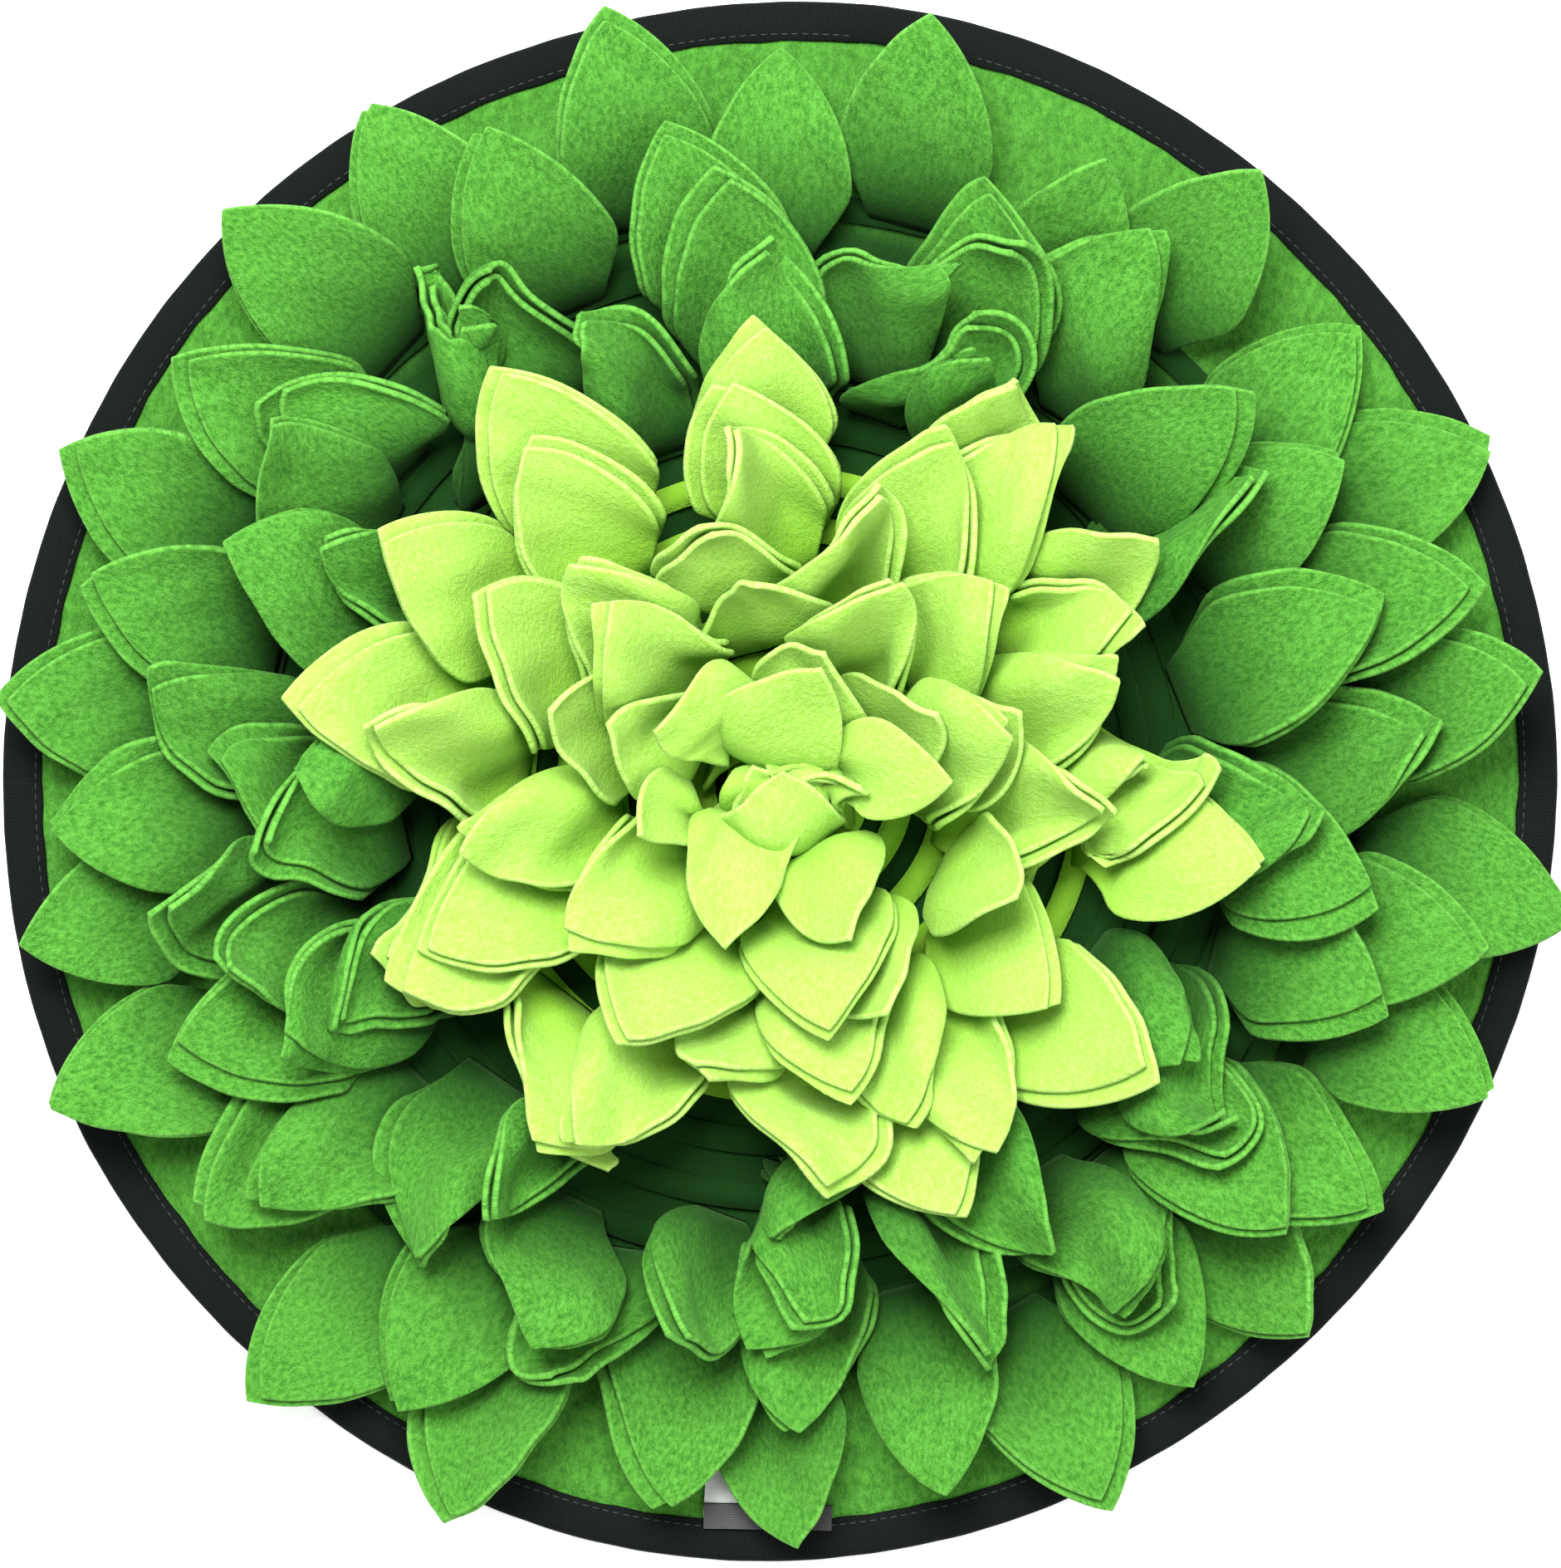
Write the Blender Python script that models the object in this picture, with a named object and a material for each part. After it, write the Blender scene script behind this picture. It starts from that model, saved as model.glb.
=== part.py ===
"""Round snuffle mat: a flat fleece disc with a bound edge, two small tabs, and rings
of fleece petals that stand up from their sewn roots and flop outward.

Metres, +Z up.  The origin is at the middle of the mat, on the surface it lies on.
A pair of petals starts as one sheet that rises from its root and leans outward.  The
sheets are then pressed apart, a little at a time, until they lie on each other
without meeting, and each petal is cut from the sheet of its pair.
"""
import math
import random
from collections import Counter, namedtuple

import bmesh
import bpy
import numpy as np
from mathutils import Vector
from mathutils.bvhtree import BVHTree

MM = 0.001
GAP = 0.0003                     # left between pieces that lie on each other

# Base disc and binding
MAT_RADIUS = 0.2253              # to the outside of the binding
BASE_THICK = 0.0032
PINCH_THICK = 0.0014             # the fleece squeezed inside the folded tape
TAPE_THICK = 0.0010
TAPE_WIDTH = 0.0115              # what shows of the tape from above
TAPE_TOP = 2 * TAPE_THICK + 2 * GAP + PINCH_THICK
TAPE_SHOULDER = 0.4 * TAPE_THICK     # cut off the tape's outer corners
MOUTH_ROOM = 2 * GAP             # between the tape's free edges and the thick disc
PINCH_RUN = 0.0040               # over which the disc thins towards the tape
RIM_STEPS = 64

# How far the real outline swells or falls short of the circle, around the mat
Swell = namedtuple("Swell", "middle_deg half_width_deg rise_mm")
SWELLS = (
    Swell(78, 34, 2.2),
    Swell(130, 34, 1.5),
    Swell(205, 24, 0.9),
    Swell(255, 26, 0.4),
    Swell(312, 58, -3.2),
)
LAP_DEG = 79.5                   # where the end of the tape laps over its start
LAP_HALF_DEG = 8.0
LAP_RISE = 0.0008

# Tabs at the lower edge
WOVEN_WIDTH, WOVEN_LENGTH, WOVEN_THICK = 0.0370, 0.0075, 0.0010
WOVEN_DEG = 269.0
WOVEN_PROUD = 0.0020             # how far it lies on the tape
CARE_WIDTH, CARE_LENGTH, CARE_THICK = 0.0195, 0.0240, 0.0006
CARE_DEG = 266.6
CARE_ROOM = 4 * GAP              # from the care tab to the tape

# One petal as cut: parallel sides that meet in a gothic arch
PETAL_WIDTH = 0.048
PETAL_LENGTH = 0.067
PETAL_THICK = 0.0018
ARCH_RADIUS = 1.2 * PETAL_WIDTH
ARCH_SINK = ARCH_RADIUS - PETAL_WIDTH / 2
ARCH_HEIGHT = math.sqrt(ARCH_RADIUS ** 2 - ARCH_SINK ** 2)
PAIR_STEP = 0.0030               # from the upper petal of a pair to the one under it
UNDER_LONGER = 0.0040            # how much more of the under petal shows at the tip
UNDER_ASIDE = 0.0030             # how far its tip lies to the side
BEND_RUNS = (0.016, 0.034, 0.052)    # up the petal from its root, where it is bent
COLUMNS = 3                      # strips that a bent petal has across
STRIP_HEIGHT = 0.0016
STRIP_FOOT = BASE_THICK + GAP
ROOT_Z = STRIP_FOOT + STRIP_HEIGHT
ROOT_ROOM = 0.0030               # between the roots of one ring's neighbours
ROOT_SHIFTS = 40                 # tries at moving crowded roots apart
STRIP_TURN = 0.35                # radians of its circle that the strip follows straight

# How a petal leans, at the middle of the mat and at the outermost ring
OUTER_ROOT = 0.160
BEND_MIDDLE_DEG, BEND_OUTER_DEG = 14.0, 60.0
FLOP_MIDDLE_DEG, FLOP_OUTER_DEG = 50.0, 30.0
UPRIGHT_MIDDLE, UPRIGHT_OUTER = 0.018, 0.009     # over which the first bend takes place
MOST_LEAN_DEG = 97.0
RISE_STEP = 0.0005
LEAST_PULL, MOST_PULL = 0.40, 1.55   # limits of how much more or less than that it leans
CROOKED = 0.20                   # radians that petals lean aside, in drifts
UNEVEN = 0.22                    # how much more or less they lean, in drifts

# Drifts: slow waves over the mat that make neighbours lean alike
Drift = namedtuple("Drift", "length heading_deg phase weight")
DRIFTS = (
    Drift(0.100, 20, 0.4, 0.50),
    Drift(0.073, 95, 2.1, 0.50),
    Drift(0.057, 150, 4.0, 0.40),
    Drift(0.044, 55, 1.2, 0.35),
)
ASIDE, MORE = 0, 1               # the two drifts in use
DRIFT_TURN_DEG, DRIFT_SHIFT = 70, 2.3

# One ring of petals.  first_deg: where its first pair stands, if it has no table;
# wild: how far its pairs stray from a plain petal
Row = namedtuple("Row", "name root_radius root_width open_run pairs first_deg wild")
ROWS = (
    Row("green_petals_1", 0.1660, 0.0200, 0.030, 18, 0, 0.0),
    Row("green_petals_2", 0.1500, 0.0200, 0.030, 15, 0, 0.0),
    Row("green_petals_3", 0.1340, 0.0200, 0.030, 15, 6, 1.0),
    Row("green_petals_4", 0.1180, 0.0200, 0.030, 13, 17, 1.1),
    Row("green_petals_5", 0.1020, 0.0200, 0.030, 12, 28, 1.1),
    Row("lime_petals_1", 0.0870, 0.0200, 0.030, 13, 0, 0.0),
    Row("lime_petals_2", 0.0730, 0.0190, 0.030, 10, 20, 0.9),
    Row("lime_petals_3", 0.0595, 0.0190, 0.030, 8, 12, 0.9),
    Row("lime_petals_4", 0.0465, 0.0180, 0.030, 7, 34, 0.9),
    Row("lime_petals_5", 0.0335, 0.0170, 0.030, 5, 3, 0.8),
    Row("lime_petals_6", 0.0210, 0.0140, 0.032, 4, 75, 0.3),
    Row("lime_petals_7", 0.0065, 0.0090, 0.034, 2, 75, 0.1),
)
AIMED_RADIUS = 0.055             # rings outside this have their tips aimed
SINGLE_RADIUS = 0.022            # rings inside this have single petals, evenly spaced

# One pair of petals.  tip_deg: where its tip lies; extra_mm: longer or shorter than
# the others; sway_mm: how far the tip swings round from the root; turn_deg: how it
# is twisted to shingle over its neighbour; cup_mm and wave_mm: how its width curls;
# curl_mm: how far its tip curls under
Pair = namedtuple("Pair", "tip_deg extra_mm sway_mm turn_deg cup_mm wave_mm curl_mm layers")
OUTER_PAIRS = (
    Pair(25, -3, -6, 10, 3, 0, 0, 2),
    Pair(52, 1, -2, -8, 3, 0, 0, 1),
    Pair(79, 0, 8, -10, 2, 0, 0, 1),
    Pair(103, 0, 2, -12, 3, 0, 0, 2),
    Pair(121, 0, 2, 12, 4, 0, 0, 2),
    Pair(134, 4, 4, 12, 2, 0, 0, 2),
    Pair(154, -3, -6, 14, 6, 0, 0, 2),
    Pair(174, -3, 6, -16, 5, 0, 0, 2),
    Pair(-168, -4, 4, 12, 3, 0, 0, 1),
    Pair(-156, 3, -6, -14, 3, 0, 0, 2),
    Pair(-130, 4, -8, -12, 2, 0, 0, 2),
    Pair(-114, 5, 4, -16, 8, 4, 0, 2),
    Pair(-88, -7, 6, -14, 5, 5, 0, 1),
    Pair(-66, -1, -6, 14, 3, 0, 0, 2),
    Pair(-46, -6, 4, -12, 3, 0, 0, 2),
    Pair(-24, -4, -8, 16, 4, 0, 0, 2),
    Pair(-10, 2, -6, 14, 3, 0, 0, 2),
    Pair(8, -6, 6, 14, 3, 0, 0, 2),
)
SECOND_PAIRS = (
    Pair(-14, -2, 0, 22, 6, 0, 0, 2),
    Pair(16, -2, 0, 20, 8, 0, 0, 2),
    Pair(38, -2, 8, 14, 4, 0, 0, 2),
    Pair(63, -6, 4, -16, 6, 6, 0, 1),
    Pair(90, 0, -4, -14, 6, 0, 0, 1),
    Pair(114, -2, 2, 10, 4, 0, 0, 2),
    Pair(144, 0, 2, 12, 3, 0, 0, 2),
    Pair(163, -2, -6, 14, 8, 0, 0, 2),
    Pair(-176, 0, 2, -14, 6, 5, 0, 2),
    Pair(-143, -2, 6, -16, 4, 0, 0, 2),
    Pair(-121, 0, 6, -12, 9, 0, 0, 2),
    Pair(-99, 0, 4, -16, 10, 0, 0, 2),
    Pair(-77, 0, -6, -12, 4, -6, 0, 1),
    Pair(-56, -3, -8, 16, 4, 0, 0, 2),
    Pair(-35, -2, 4, 14, 5, 0, 0, 2),
)
LIME_PAIRS = (
    Pair(-10, 0, -4, 14, 4, 0, 0, 2),
    Pair(8, -2, 0, 22, 4, 0, 0, 2),
    Pair(34, -6, 4, -20, 12, 8, 0, 1),
    Pair(62, -4, 10, -30, 8, 6, 3, 2),
    Pair(92, -8, -4, 10, 4, 5, 0, 2),
    Pair(124, 5, 4, 14, 6, 0, 0, 2),
    Pair(149, 0, -6, -18, 3, 0, 0, 2),
    Pair(171, 6, 4, -16, 4, 0, 0, 2),
    Pair(-168, 4, -4, 16, 4, 0, 0, 2),
    Pair(-136, 0, -6, 40, 10, 7, 0, 2),
    Pair(-104, 4, 6, -12, 3, 0, 0, 1),
    Pair(-68, -4, 0, 30, 8, 5, 0, 2),
    Pair(-38, 2, 6, -16, 4, 0, 0, 2),
)
TABLES = {
    "green_petals_1": OUTER_PAIRS,
    "green_petals_2": SECOND_PAIRS,
    "lime_petals_1": LIME_PAIRS,
}

# How far the pairs of the other rings stray, for a wildness of 1
LAYOUT_SEED = 11
TIP_STRAY = 0.22                 # share of the step from pair to pair
EXTRA_MM = (-8, 4)
SWAY_MM = 14
TURN_DEG, TURN_DRIFT_DEG = 34, 14
CUP_MM = (-2, 14)
WAVES_MM = (0, 0, 8, -8, 12, -12)
CURL_MM = 6

# The grid that each sheet is pressed apart on
LEVELS, ACROSS = 10, 7           # points up and across a sheet
SHEET_LENGTH = 0.080
SHEET_SPARE = 1.16               # the sheet's width, as a share of the petal's
SHEET_RUNS = np.linspace(0.0, SHEET_LENGTH, LEVELS)
SHEET_SIDES = np.linspace(-1.0, 1.0, ACROSS)
CUT_MARGIN = 0.15                # how far outside the cut shape a point still counts

# Pressing apart
ROUNDS = 60
LOOK_AGAIN = 8                   # rounds from one search for neighbours to the next
CLEARANCE = 0.0035               # from middle to middle of two petals that touch
NEAR = 0.0125                    # sheets closer than this are watched
REACH = 0.0085                   # how far aside a point still pushes
CROSSED_REACH = 0.0015           # the same at an edge that stands on another's face
CROSSED_SHARE = 0.45             # of their normals that two such sheets share at most
OPPOSED_SHARE = -0.2             # the same for sheets that lean away from each other
DEEPEST = 0.022                  # a point further through than this isn't pushed back
OUTSIDE = 1.0                    # stands for a distance that doesn't count
TOUCH = 0.008                    # how close points are when they say which sheet is over
PUSH = 1.5
SINK = 0.0040                    # how far the cloth sags in all
SPREAD = 0.25                    # how much of a push the next points share
EASE = 0.03                      # how fast the cloth takes its new shape
IRON = 0.04                      # how fast sharp bends flatten
FIRM_ROOT = 0.40                 # how firmly the first bend holds its place
RIM_RADIUS = 0.212               # outside it petals lie on the tape

GREEN = (0.075, 0.330, 0.030, 1.0)
GREEN_BASE = (0.065, 0.280, 0.028, 1.0)
LIME = (0.450, 0.850, 0.050, 1.0)
BLACK = (0.010, 0.012, 0.012, 1.0)
SATIN = (0.600, 0.600, 0.580, 1.0)


def clear_scene():
    for old in list(bpy.data.objects):
        bpy.data.objects.remove(old, do_unlink=True)


def smooth(x):
    x = np.clip(x, 0.0, 1.0)
    return x * x * (3.0 - 2.0 * x)


def material(name, colour, roughness):
    made = bpy.data.materials.new(name)
    made.use_nodes = True
    shader = made.node_tree.nodes["Principled BSDF"]
    shader.inputs["Base Color"].default_value = colour
    shader.inputs["Roughness"].default_value = roughness
    shader.inputs["Metallic"].default_value = 0.0
    return made


def add_object(name, mesh_data, mat):
    """Turn a bmesh into a named object with its faces pointing out."""
    bmesh.ops.recalc_face_normals(mesh_data, faces=mesh_data.faces)
    mesh = bpy.data.meshes.new(name)
    mesh_data.to_mesh(mesh)
    mesh_data.free()
    mesh.materials.append(mat)
    made = bpy.data.objects.new(name, mesh)
    bpy.context.scene.collection.objects.link(made)
    return made


# ---------------------------------------------------------------- disc and binding
def rim_radius(angle):
    """Outside radius of the mat at an angle, from the circle and its swells."""
    radius = MAT_RADIUS
    for swell in SWELLS:
        away = math.degrees(angle) - swell.middle_deg
        away = abs((away + 180.0) % 360.0 - 180.0)
        radius += swell.rise_mm * MM * float(smooth(1.0 - away / swell.half_width_deg))
    return radius


def swept_ring(profile_at, mat, name, closed_profile):
    """Join a profile of (radius, height) points, repeated around the mat."""
    shape = bmesh.new()
    rings = []
    for step in range(RIM_STEPS):
        angle = math.tau * step / RIM_STEPS
        turn = (math.cos(angle), math.sin(angle))
        rings.append([shape.verts.new((r * turn[0], r * turn[1], z)) for r, z in profile_at(angle)])
    count = len(rings[0])
    for step in range(RIM_STEPS):
        here, there = rings[step], rings[(step + 1) % RIM_STEPS]
        for k in range(count if closed_profile else count - 1):
            nxt = (k + 1) % count
            shape.faces.new((here[k], here[nxt], there[nxt], there[k]))
    if not closed_profile:
        for k, height in ((0, rings[0][0].co.z), (count - 1, rings[0][-1].co.z)):
            hub = shape.verts.new((0.0, 0.0, height))
            for step in range(RIM_STEPS):
                shape.faces.new((hub, rings[step][k], rings[(step + 1) % RIM_STEPS][k]))
    return add_object(name, shape, mat)


def base_profile(angle):
    edge = rim_radius(angle) - TAPE_THICK - GAP
    mouth = rim_radius(angle) - TAPE_WIDTH
    low = TAPE_THICK + GAP
    high = low + PINCH_THICK
    return (
        (mouth - PINCH_RUN, 0.0),
        (mouth - MOUTH_ROOM, low),
        (edge, low),
        (edge, high),
        (mouth - MOUTH_ROOM, high),
        (mouth - PINCH_RUN, BASE_THICK),
    )


def lap(angle):
    """Extra height of the tape where its end lies over its start."""
    away = abs((math.degrees(angle) - LAP_DEG + 180.0) % 360.0 - 180.0)
    return LAP_RISE * float(smooth(1.0 - away / LAP_HALF_DEG))


def binding_profile(angle):
    edge = rim_radius(angle)
    mouth = edge - TAPE_WIDTH
    inner_edge = edge - TAPE_THICK
    shoulder_edge = edge - TAPE_SHOULDER
    top = TAPE_TOP + lap(angle)
    return (
        (mouth, 0.0),
        (shoulder_edge, 0.0),
        (edge, TAPE_SHOULDER),
        (edge, top - TAPE_SHOULDER),
        (shoulder_edge, top),
        (mouth, top),
        (mouth, TAPE_TOP - TAPE_THICK),
        (inner_edge, TAPE_TOP - TAPE_THICK),
        (inner_edge, TAPE_THICK),
        (mouth, TAPE_THICK),
    )


def tab(name, mat, angle_deg, outer_radius, foot, width, length, thick):
    """A small flat tab that points to the middle of the mat."""
    shape = bmesh.new()
    bmesh.ops.create_cube(shape, size=1.0)
    bmesh.ops.scale(shape, vec=(length, width, thick), verts=shape.verts)
    made = add_object(name, shape, mat)
    angle = math.radians(angle_deg)
    reach = outer_radius - length / 2
    made.location = (reach * math.cos(angle), reach * math.sin(angle), foot + thick / 2)
    made.rotation_euler = (0.0, 0.0, angle)
    return made


# ---------------------------------------------------------------- how petals stand
def drift(x, y, kind):
    """Height of the slow waves over the mat, a different set for each kind."""
    total = 0.0
    for wave in DRIFTS:
        heading = math.radians(wave.heading_deg + DRIFT_TURN_DEG * kind)
        along = x * math.cos(heading) + y * math.sin(heading)
        total += wave.weight * math.sin(math.tau * along / wave.length + wave.phase + DRIFT_SHIFT * kind)
    return total


def lean_at(root_radius, angle):
    """The way a petal leans from a root, and how much more than usual it does."""
    x, y = root_radius * math.cos(angle), root_radius * math.sin(angle)
    calm = 1.0 - 0.5 * float(smooth((root_radius - 0.130) / 0.040))
    aside = CROOKED * calm * drift(x, y, ASIDE)
    pull = 1.0 + UNEVEN * drift(x, y, MORE)
    return angle + aside, min(max(pull, LEAST_PULL), MOST_PULL)


def rise(root_radius, pull):
    """Reach, height and lean of a petal's middle line, step by step from its root."""
    part = min(root_radius / OUTER_ROOT, 1.1)
    bend = math.radians(BEND_MIDDLE_DEG + (BEND_OUTER_DEG - BEND_MIDDLE_DEG) * part ** 0.9)
    flop = math.radians(FLOP_MIDDLE_DEG + (FLOP_OUTER_DEG - FLOP_MIDDLE_DEG) * part)
    upright = UPRIGHT_MIDDLE + (UPRIGHT_OUTER - UPRIGHT_MIDDLE) * part
    steps = np.arange(0.0, SHEET_LENGTH, RISE_STEP) + RISE_STEP / 2
    lean = pull * (bend * smooth(steps / upright) + flop * (steps / PETAL_LENGTH) ** 1.6)
    lean = np.minimum(lean, math.radians(MOST_LEAN_DEG))
    reach = np.cumsum(np.sin(lean)) * RISE_STEP
    height = ROOT_Z + np.cumsum(np.cos(lean)) * RISE_STEP
    return steps + RISE_STEP / 2, reach, height, lean


def sheet_points(row, pair, angle, side, run):
    """Points of a pair's sheet before it is pressed, by distance aside and up it."""
    heading, pull = lean_at(row.root_radius, angle)
    steps, reach, height, lean = rise(row.root_radius, pull)
    reach = np.interp(run, np.append(0.0, steps), np.append(0.0, reach))
    height = np.interp(run, np.append(0.0, steps), np.append(ROOT_Z, height))
    lean = np.interp(run, steps, lean)
    grown = smooth(run / (0.45 * PETAL_LENGTH))
    turn = math.radians(pair.turn_deg) * grown
    across = side / (PETAL_WIDTH / 2)
    bow = pair.cup_mm * (across ** 2 - 0.3) + pair.wave_mm * np.sin(math.pi * across)
    bow = bow * MM * grown + pair.curl_mm * MM * (run / PETAL_LENGTH) ** 2
    steep = np.abs(2 * pair.cup_mm * across) + np.abs(math.pi * pair.wave_mm * np.cos(math.pi * across))
    drawn_in = np.sqrt(np.maximum(1.0 - 0.28 * grown * steep * MM / (PETAL_WIDTH / 2), 0.35))
    out = side * drawn_in * np.sin(turn) - bow * np.cos(turn)
    around = side * drawn_in * np.cos(turn) + bow * np.sin(turn)
    around = around + pair.sway_mm * MM * (run / PETAL_LENGTH) ** 1.5
    along = reach + out * np.cos(lean)
    x = row.root_radius * math.cos(angle) + along * math.cos(heading) - around * math.sin(heading)
    y = row.root_radius * math.sin(angle) + along * math.sin(heading) + around * math.cos(heading)
    return np.stack((x, y, height - out * np.sin(lean)), axis=-1)


def root_angles(row, pairs):
    """Where the roots of a ring stand so that their tips lie where they should."""
    angles = []
    for pair in pairs:
        aim = math.radians(pair.tip_deg)
        angle = aim
        for _ in range(6 if row.root_radius > AIMED_RADIUS else 0):
            tip = sheet_points(row, pair, angle, np.zeros(1), np.full(1, PETAL_LENGTH))[0]
            off = aim - math.atan2(tip[1], tip[0])
            angle += 0.6 * ((off + math.pi) % math.tau - math.pi)
        angles.append(angle)
    room = (row.root_width + ROOT_ROOM) / row.root_radius
    order = sorted(range(len(pairs)), key=lambda k: angles[k] % math.tau)
    for _ in range(ROOT_SHIFTS):
        for place, here in enumerate(order):
            there = order[(place + 1) % len(order)]
            short = room - (angles[there] - angles[here]) % math.tau
            if short > 0.0:
                angles[here] -= short / 2
                angles[there] += short / 2
    return angles


def layout():
    """Each ring's pairs of petals: from its table, or strayed from a plain petal."""
    rng = random.Random(LAYOUT_SEED)
    rings = []
    for row in ROWS:
        if row.name in TABLES:
            rings.append(list(TABLES[row.name]))
            continue
        pairs = []
        layers = 2 if row.root_radius > SINGLE_RADIUS else 1
        for k in range(row.pairs):
            strayed = rng.uniform(-TIP_STRAY, TIP_STRAY) if layers == 2 else 0.0
            tip = row.first_deg + 360.0 * (k + strayed) / row.pairs
            shingle = TURN_DRIFT_DEG * math.sin(math.radians(2.0 * tip + 40.0))
            turn = row.wild * (shingle + rng.uniform(-TURN_DEG, TURN_DEG))
            wave = row.wild * rng.choice(WAVES_MM)
            pairs.append(Pair(tip, rng.uniform(*EXTRA_MM), row.wild * rng.uniform(-SWAY_MM, SWAY_MM),
                              turn, row.wild * rng.uniform(*CUP_MM), wave,
                              row.wild * rng.uniform(-CURL_MM, CURL_MM), layers))
        rings.append(pairs)
    return rings


def opened_half(row, run):
    """Half the width that a petal has opened to at a run above its gathered root."""
    gathered = row.root_width / 2
    return gathered + (PETAL_WIDTH / 2 - gathered) * smooth(run / row.open_run)


def arch_share(length, run):
    """Share of its opened width that a petal keeps under its gothic arch."""
    above = np.clip(run - (length - ARCH_HEIGHT), 0.0, ARCH_HEIGHT)
    return np.maximum(np.sqrt(ARCH_RADIUS ** 2 - above ** 2) - ARCH_SINK, 0.0) / (PETAL_WIDTH / 2)


def petal_length(pair, layer):
    return PETAL_LENGTH + pair.extra_mm * MM + UNDER_LONGER * layer


# ---------------------------------------------------------------- pressing apart
def outward_normals(sheets):
    """Normals on the under side of every sheet."""
    normals = np.cross(np.gradient(sheets, axis=2), np.gradient(sheets, axis=1))
    return normals / np.maximum(np.linalg.norm(normals, axis=-1, keepdims=True), 1e-9)


def watched(sheets, inside):
    """Which sheets are near each other, as two columns of their numbers."""
    low, high = sheets.min(axis=(1, 2)) - NEAR / 2, sheets.max(axis=(1, 2)) + NEAR / 2
    boxes_meet = np.all((low[:, None] <= high[None]) & (high[:, None] >= low[None]), axis=-1)
    twos = np.argwhere(np.triu(boxes_meet, 1))
    return twos[point_distances(sheets, inside, twos).min(axis=(1, 2)) < NEAR ** 2]


def point_distances(sheets, inside, twos):
    """Squared distances from each point of one sheet to each of the other."""
    points, kept = sheets.reshape(len(sheets), -1, 3), inside.reshape(len(sheets), -1)
    squares = (points ** 2).sum(axis=-1)
    a, b = twos[:, 0], twos[:, 1]
    apart = squares[a][:, :, None] + squares[b][:, None, :]
    apart = apart - 2.0 * np.matmul(points[a], points[b].transpose(0, 2, 1))
    return np.where(kept[a][:, :, None] & kept[b][:, None, :], apart, OUTSIDE)


def lies_over(sheets, normals, inside, rings, a, b):
    """Whether sheet a lies on the inner, upper side of sheet b."""
    middle = (LEVELS // 2, ACROSS // 2)
    if rings[a] != rings[b] and normals[a][middle] @ normals[b][middle] > OPPOSED_SHARE:
        return rings[a] > rings[b]
    points, others = sheets[a][inside[a]], sheets[b][inside[b]]
    apart = ((points[:, None] - others[None]) ** 2).sum(axis=-1)
    nearest = apart.argmin(axis=1)
    heights = ((points - others[nearest]) * normals[b][inside[b]][nearest]).sum(axis=-1)
    return (heights * np.exp(-apart.min(axis=1) / TOUCH ** 2)).sum() <= 0.0


def pushes(sheets, normals, inside, over, room):
    """How far each point moves to clear the sheets over and under its own."""
    count, points = len(sheets), LEVELS * ACROSS
    flat, normal = sheets.reshape(count, points, 3), normals.reshape(count, points, 3)
    inner = inside.copy()
    inner[:, :, 1:-1] &= inside[:, :, :-2] & inside[:, :, 2:]
    inner[:, :-1] &= inside[:, 1:]
    inner[:, :, 0] = inner[:, :, -1] = inner[:, -1] = False
    inner = inner.reshape(count, points)
    middle = normals[:, LEVELS // 2, ACROSS // 2]
    crossed = np.abs((middle[over[:, 0]] * middle[over[:, 1]]).sum(axis=-1)) < CROSSED_SHARE
    apart = point_distances(sheets, inside, over)
    moved, met = np.zeros((count * points, 3)), np.zeros(count * points)
    for axis, sign in ((2, -1.0), (1, 1.0)):
        mine, other = (over[:, 0], over[:, 1]) if axis == 2 else (over[:, 1], over[:, 0])
        nearest = apart.argmin(axis=axis)
        square = apart.min(axis=axis)
        rows = np.arange(len(over))[:, None]
        way = normal[other][rows, nearest] * sign
        gap = ((flat[mine] - flat[other][rows, nearest]) * way).sum(axis=-1)
        aside = np.sqrt(np.maximum(square - gap ** 2, 0.0))
        far = np.where(crossed[:, None] & ~inner[other][rows, nearest], CROSSED_REACH, REACH)
        hit = (aside < far) & (gap < room[:, None]) & (gap > -DEEPEST) & (square < OUTSIDE / 2)
        amount = np.where(hit, (room[:, None] - gap) * 0.5 * (1.0 - 0.5 * (aside / REACH) ** 2), 0.0)
        step = (way * amount[..., None]).reshape(-1, 3)
        me = (mine[:, None] * points + np.arange(points)[None]).ravel()
        you = (other[:, None] * points + nearest).ravel()
        for k in range(3):
            moved[:, k] += np.bincount(me, step[:, k], count * points)
            moved[:, k] -= np.bincount(you, step[:, k], count * points)
        met += np.bincount(me, hit.ravel(), count * points) + np.bincount(you, hit.ravel(), count * points)
    return (moved / np.maximum(met, 1.0)[:, None] ** 0.7).reshape(sheets.shape)


def part_of(axis, start, stop, step=1):
    """An index that takes a range along one axis of all the sheets."""
    return tuple(slice(start, stop, step) if k == axis else slice(None) for k in range(4))


def hold_lengths(sheets, axis, lengths):
    """Bring the spaces between points along an axis back to their true lengths."""
    count = sheets.shape[axis]
    for first in (0, 1):
        low, high = part_of(axis, first, count - 1, 2), part_of(axis, first + 1, count, 2)
        across = sheets[high] - sheets[low]
        now = np.linalg.norm(across, axis=-1, keepdims=True)
        change = across * (0.4 * (now - lengths[low]) / np.maximum(now, 1e-6))
        sheets[low] += change
        sheets[high] -= change


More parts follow.
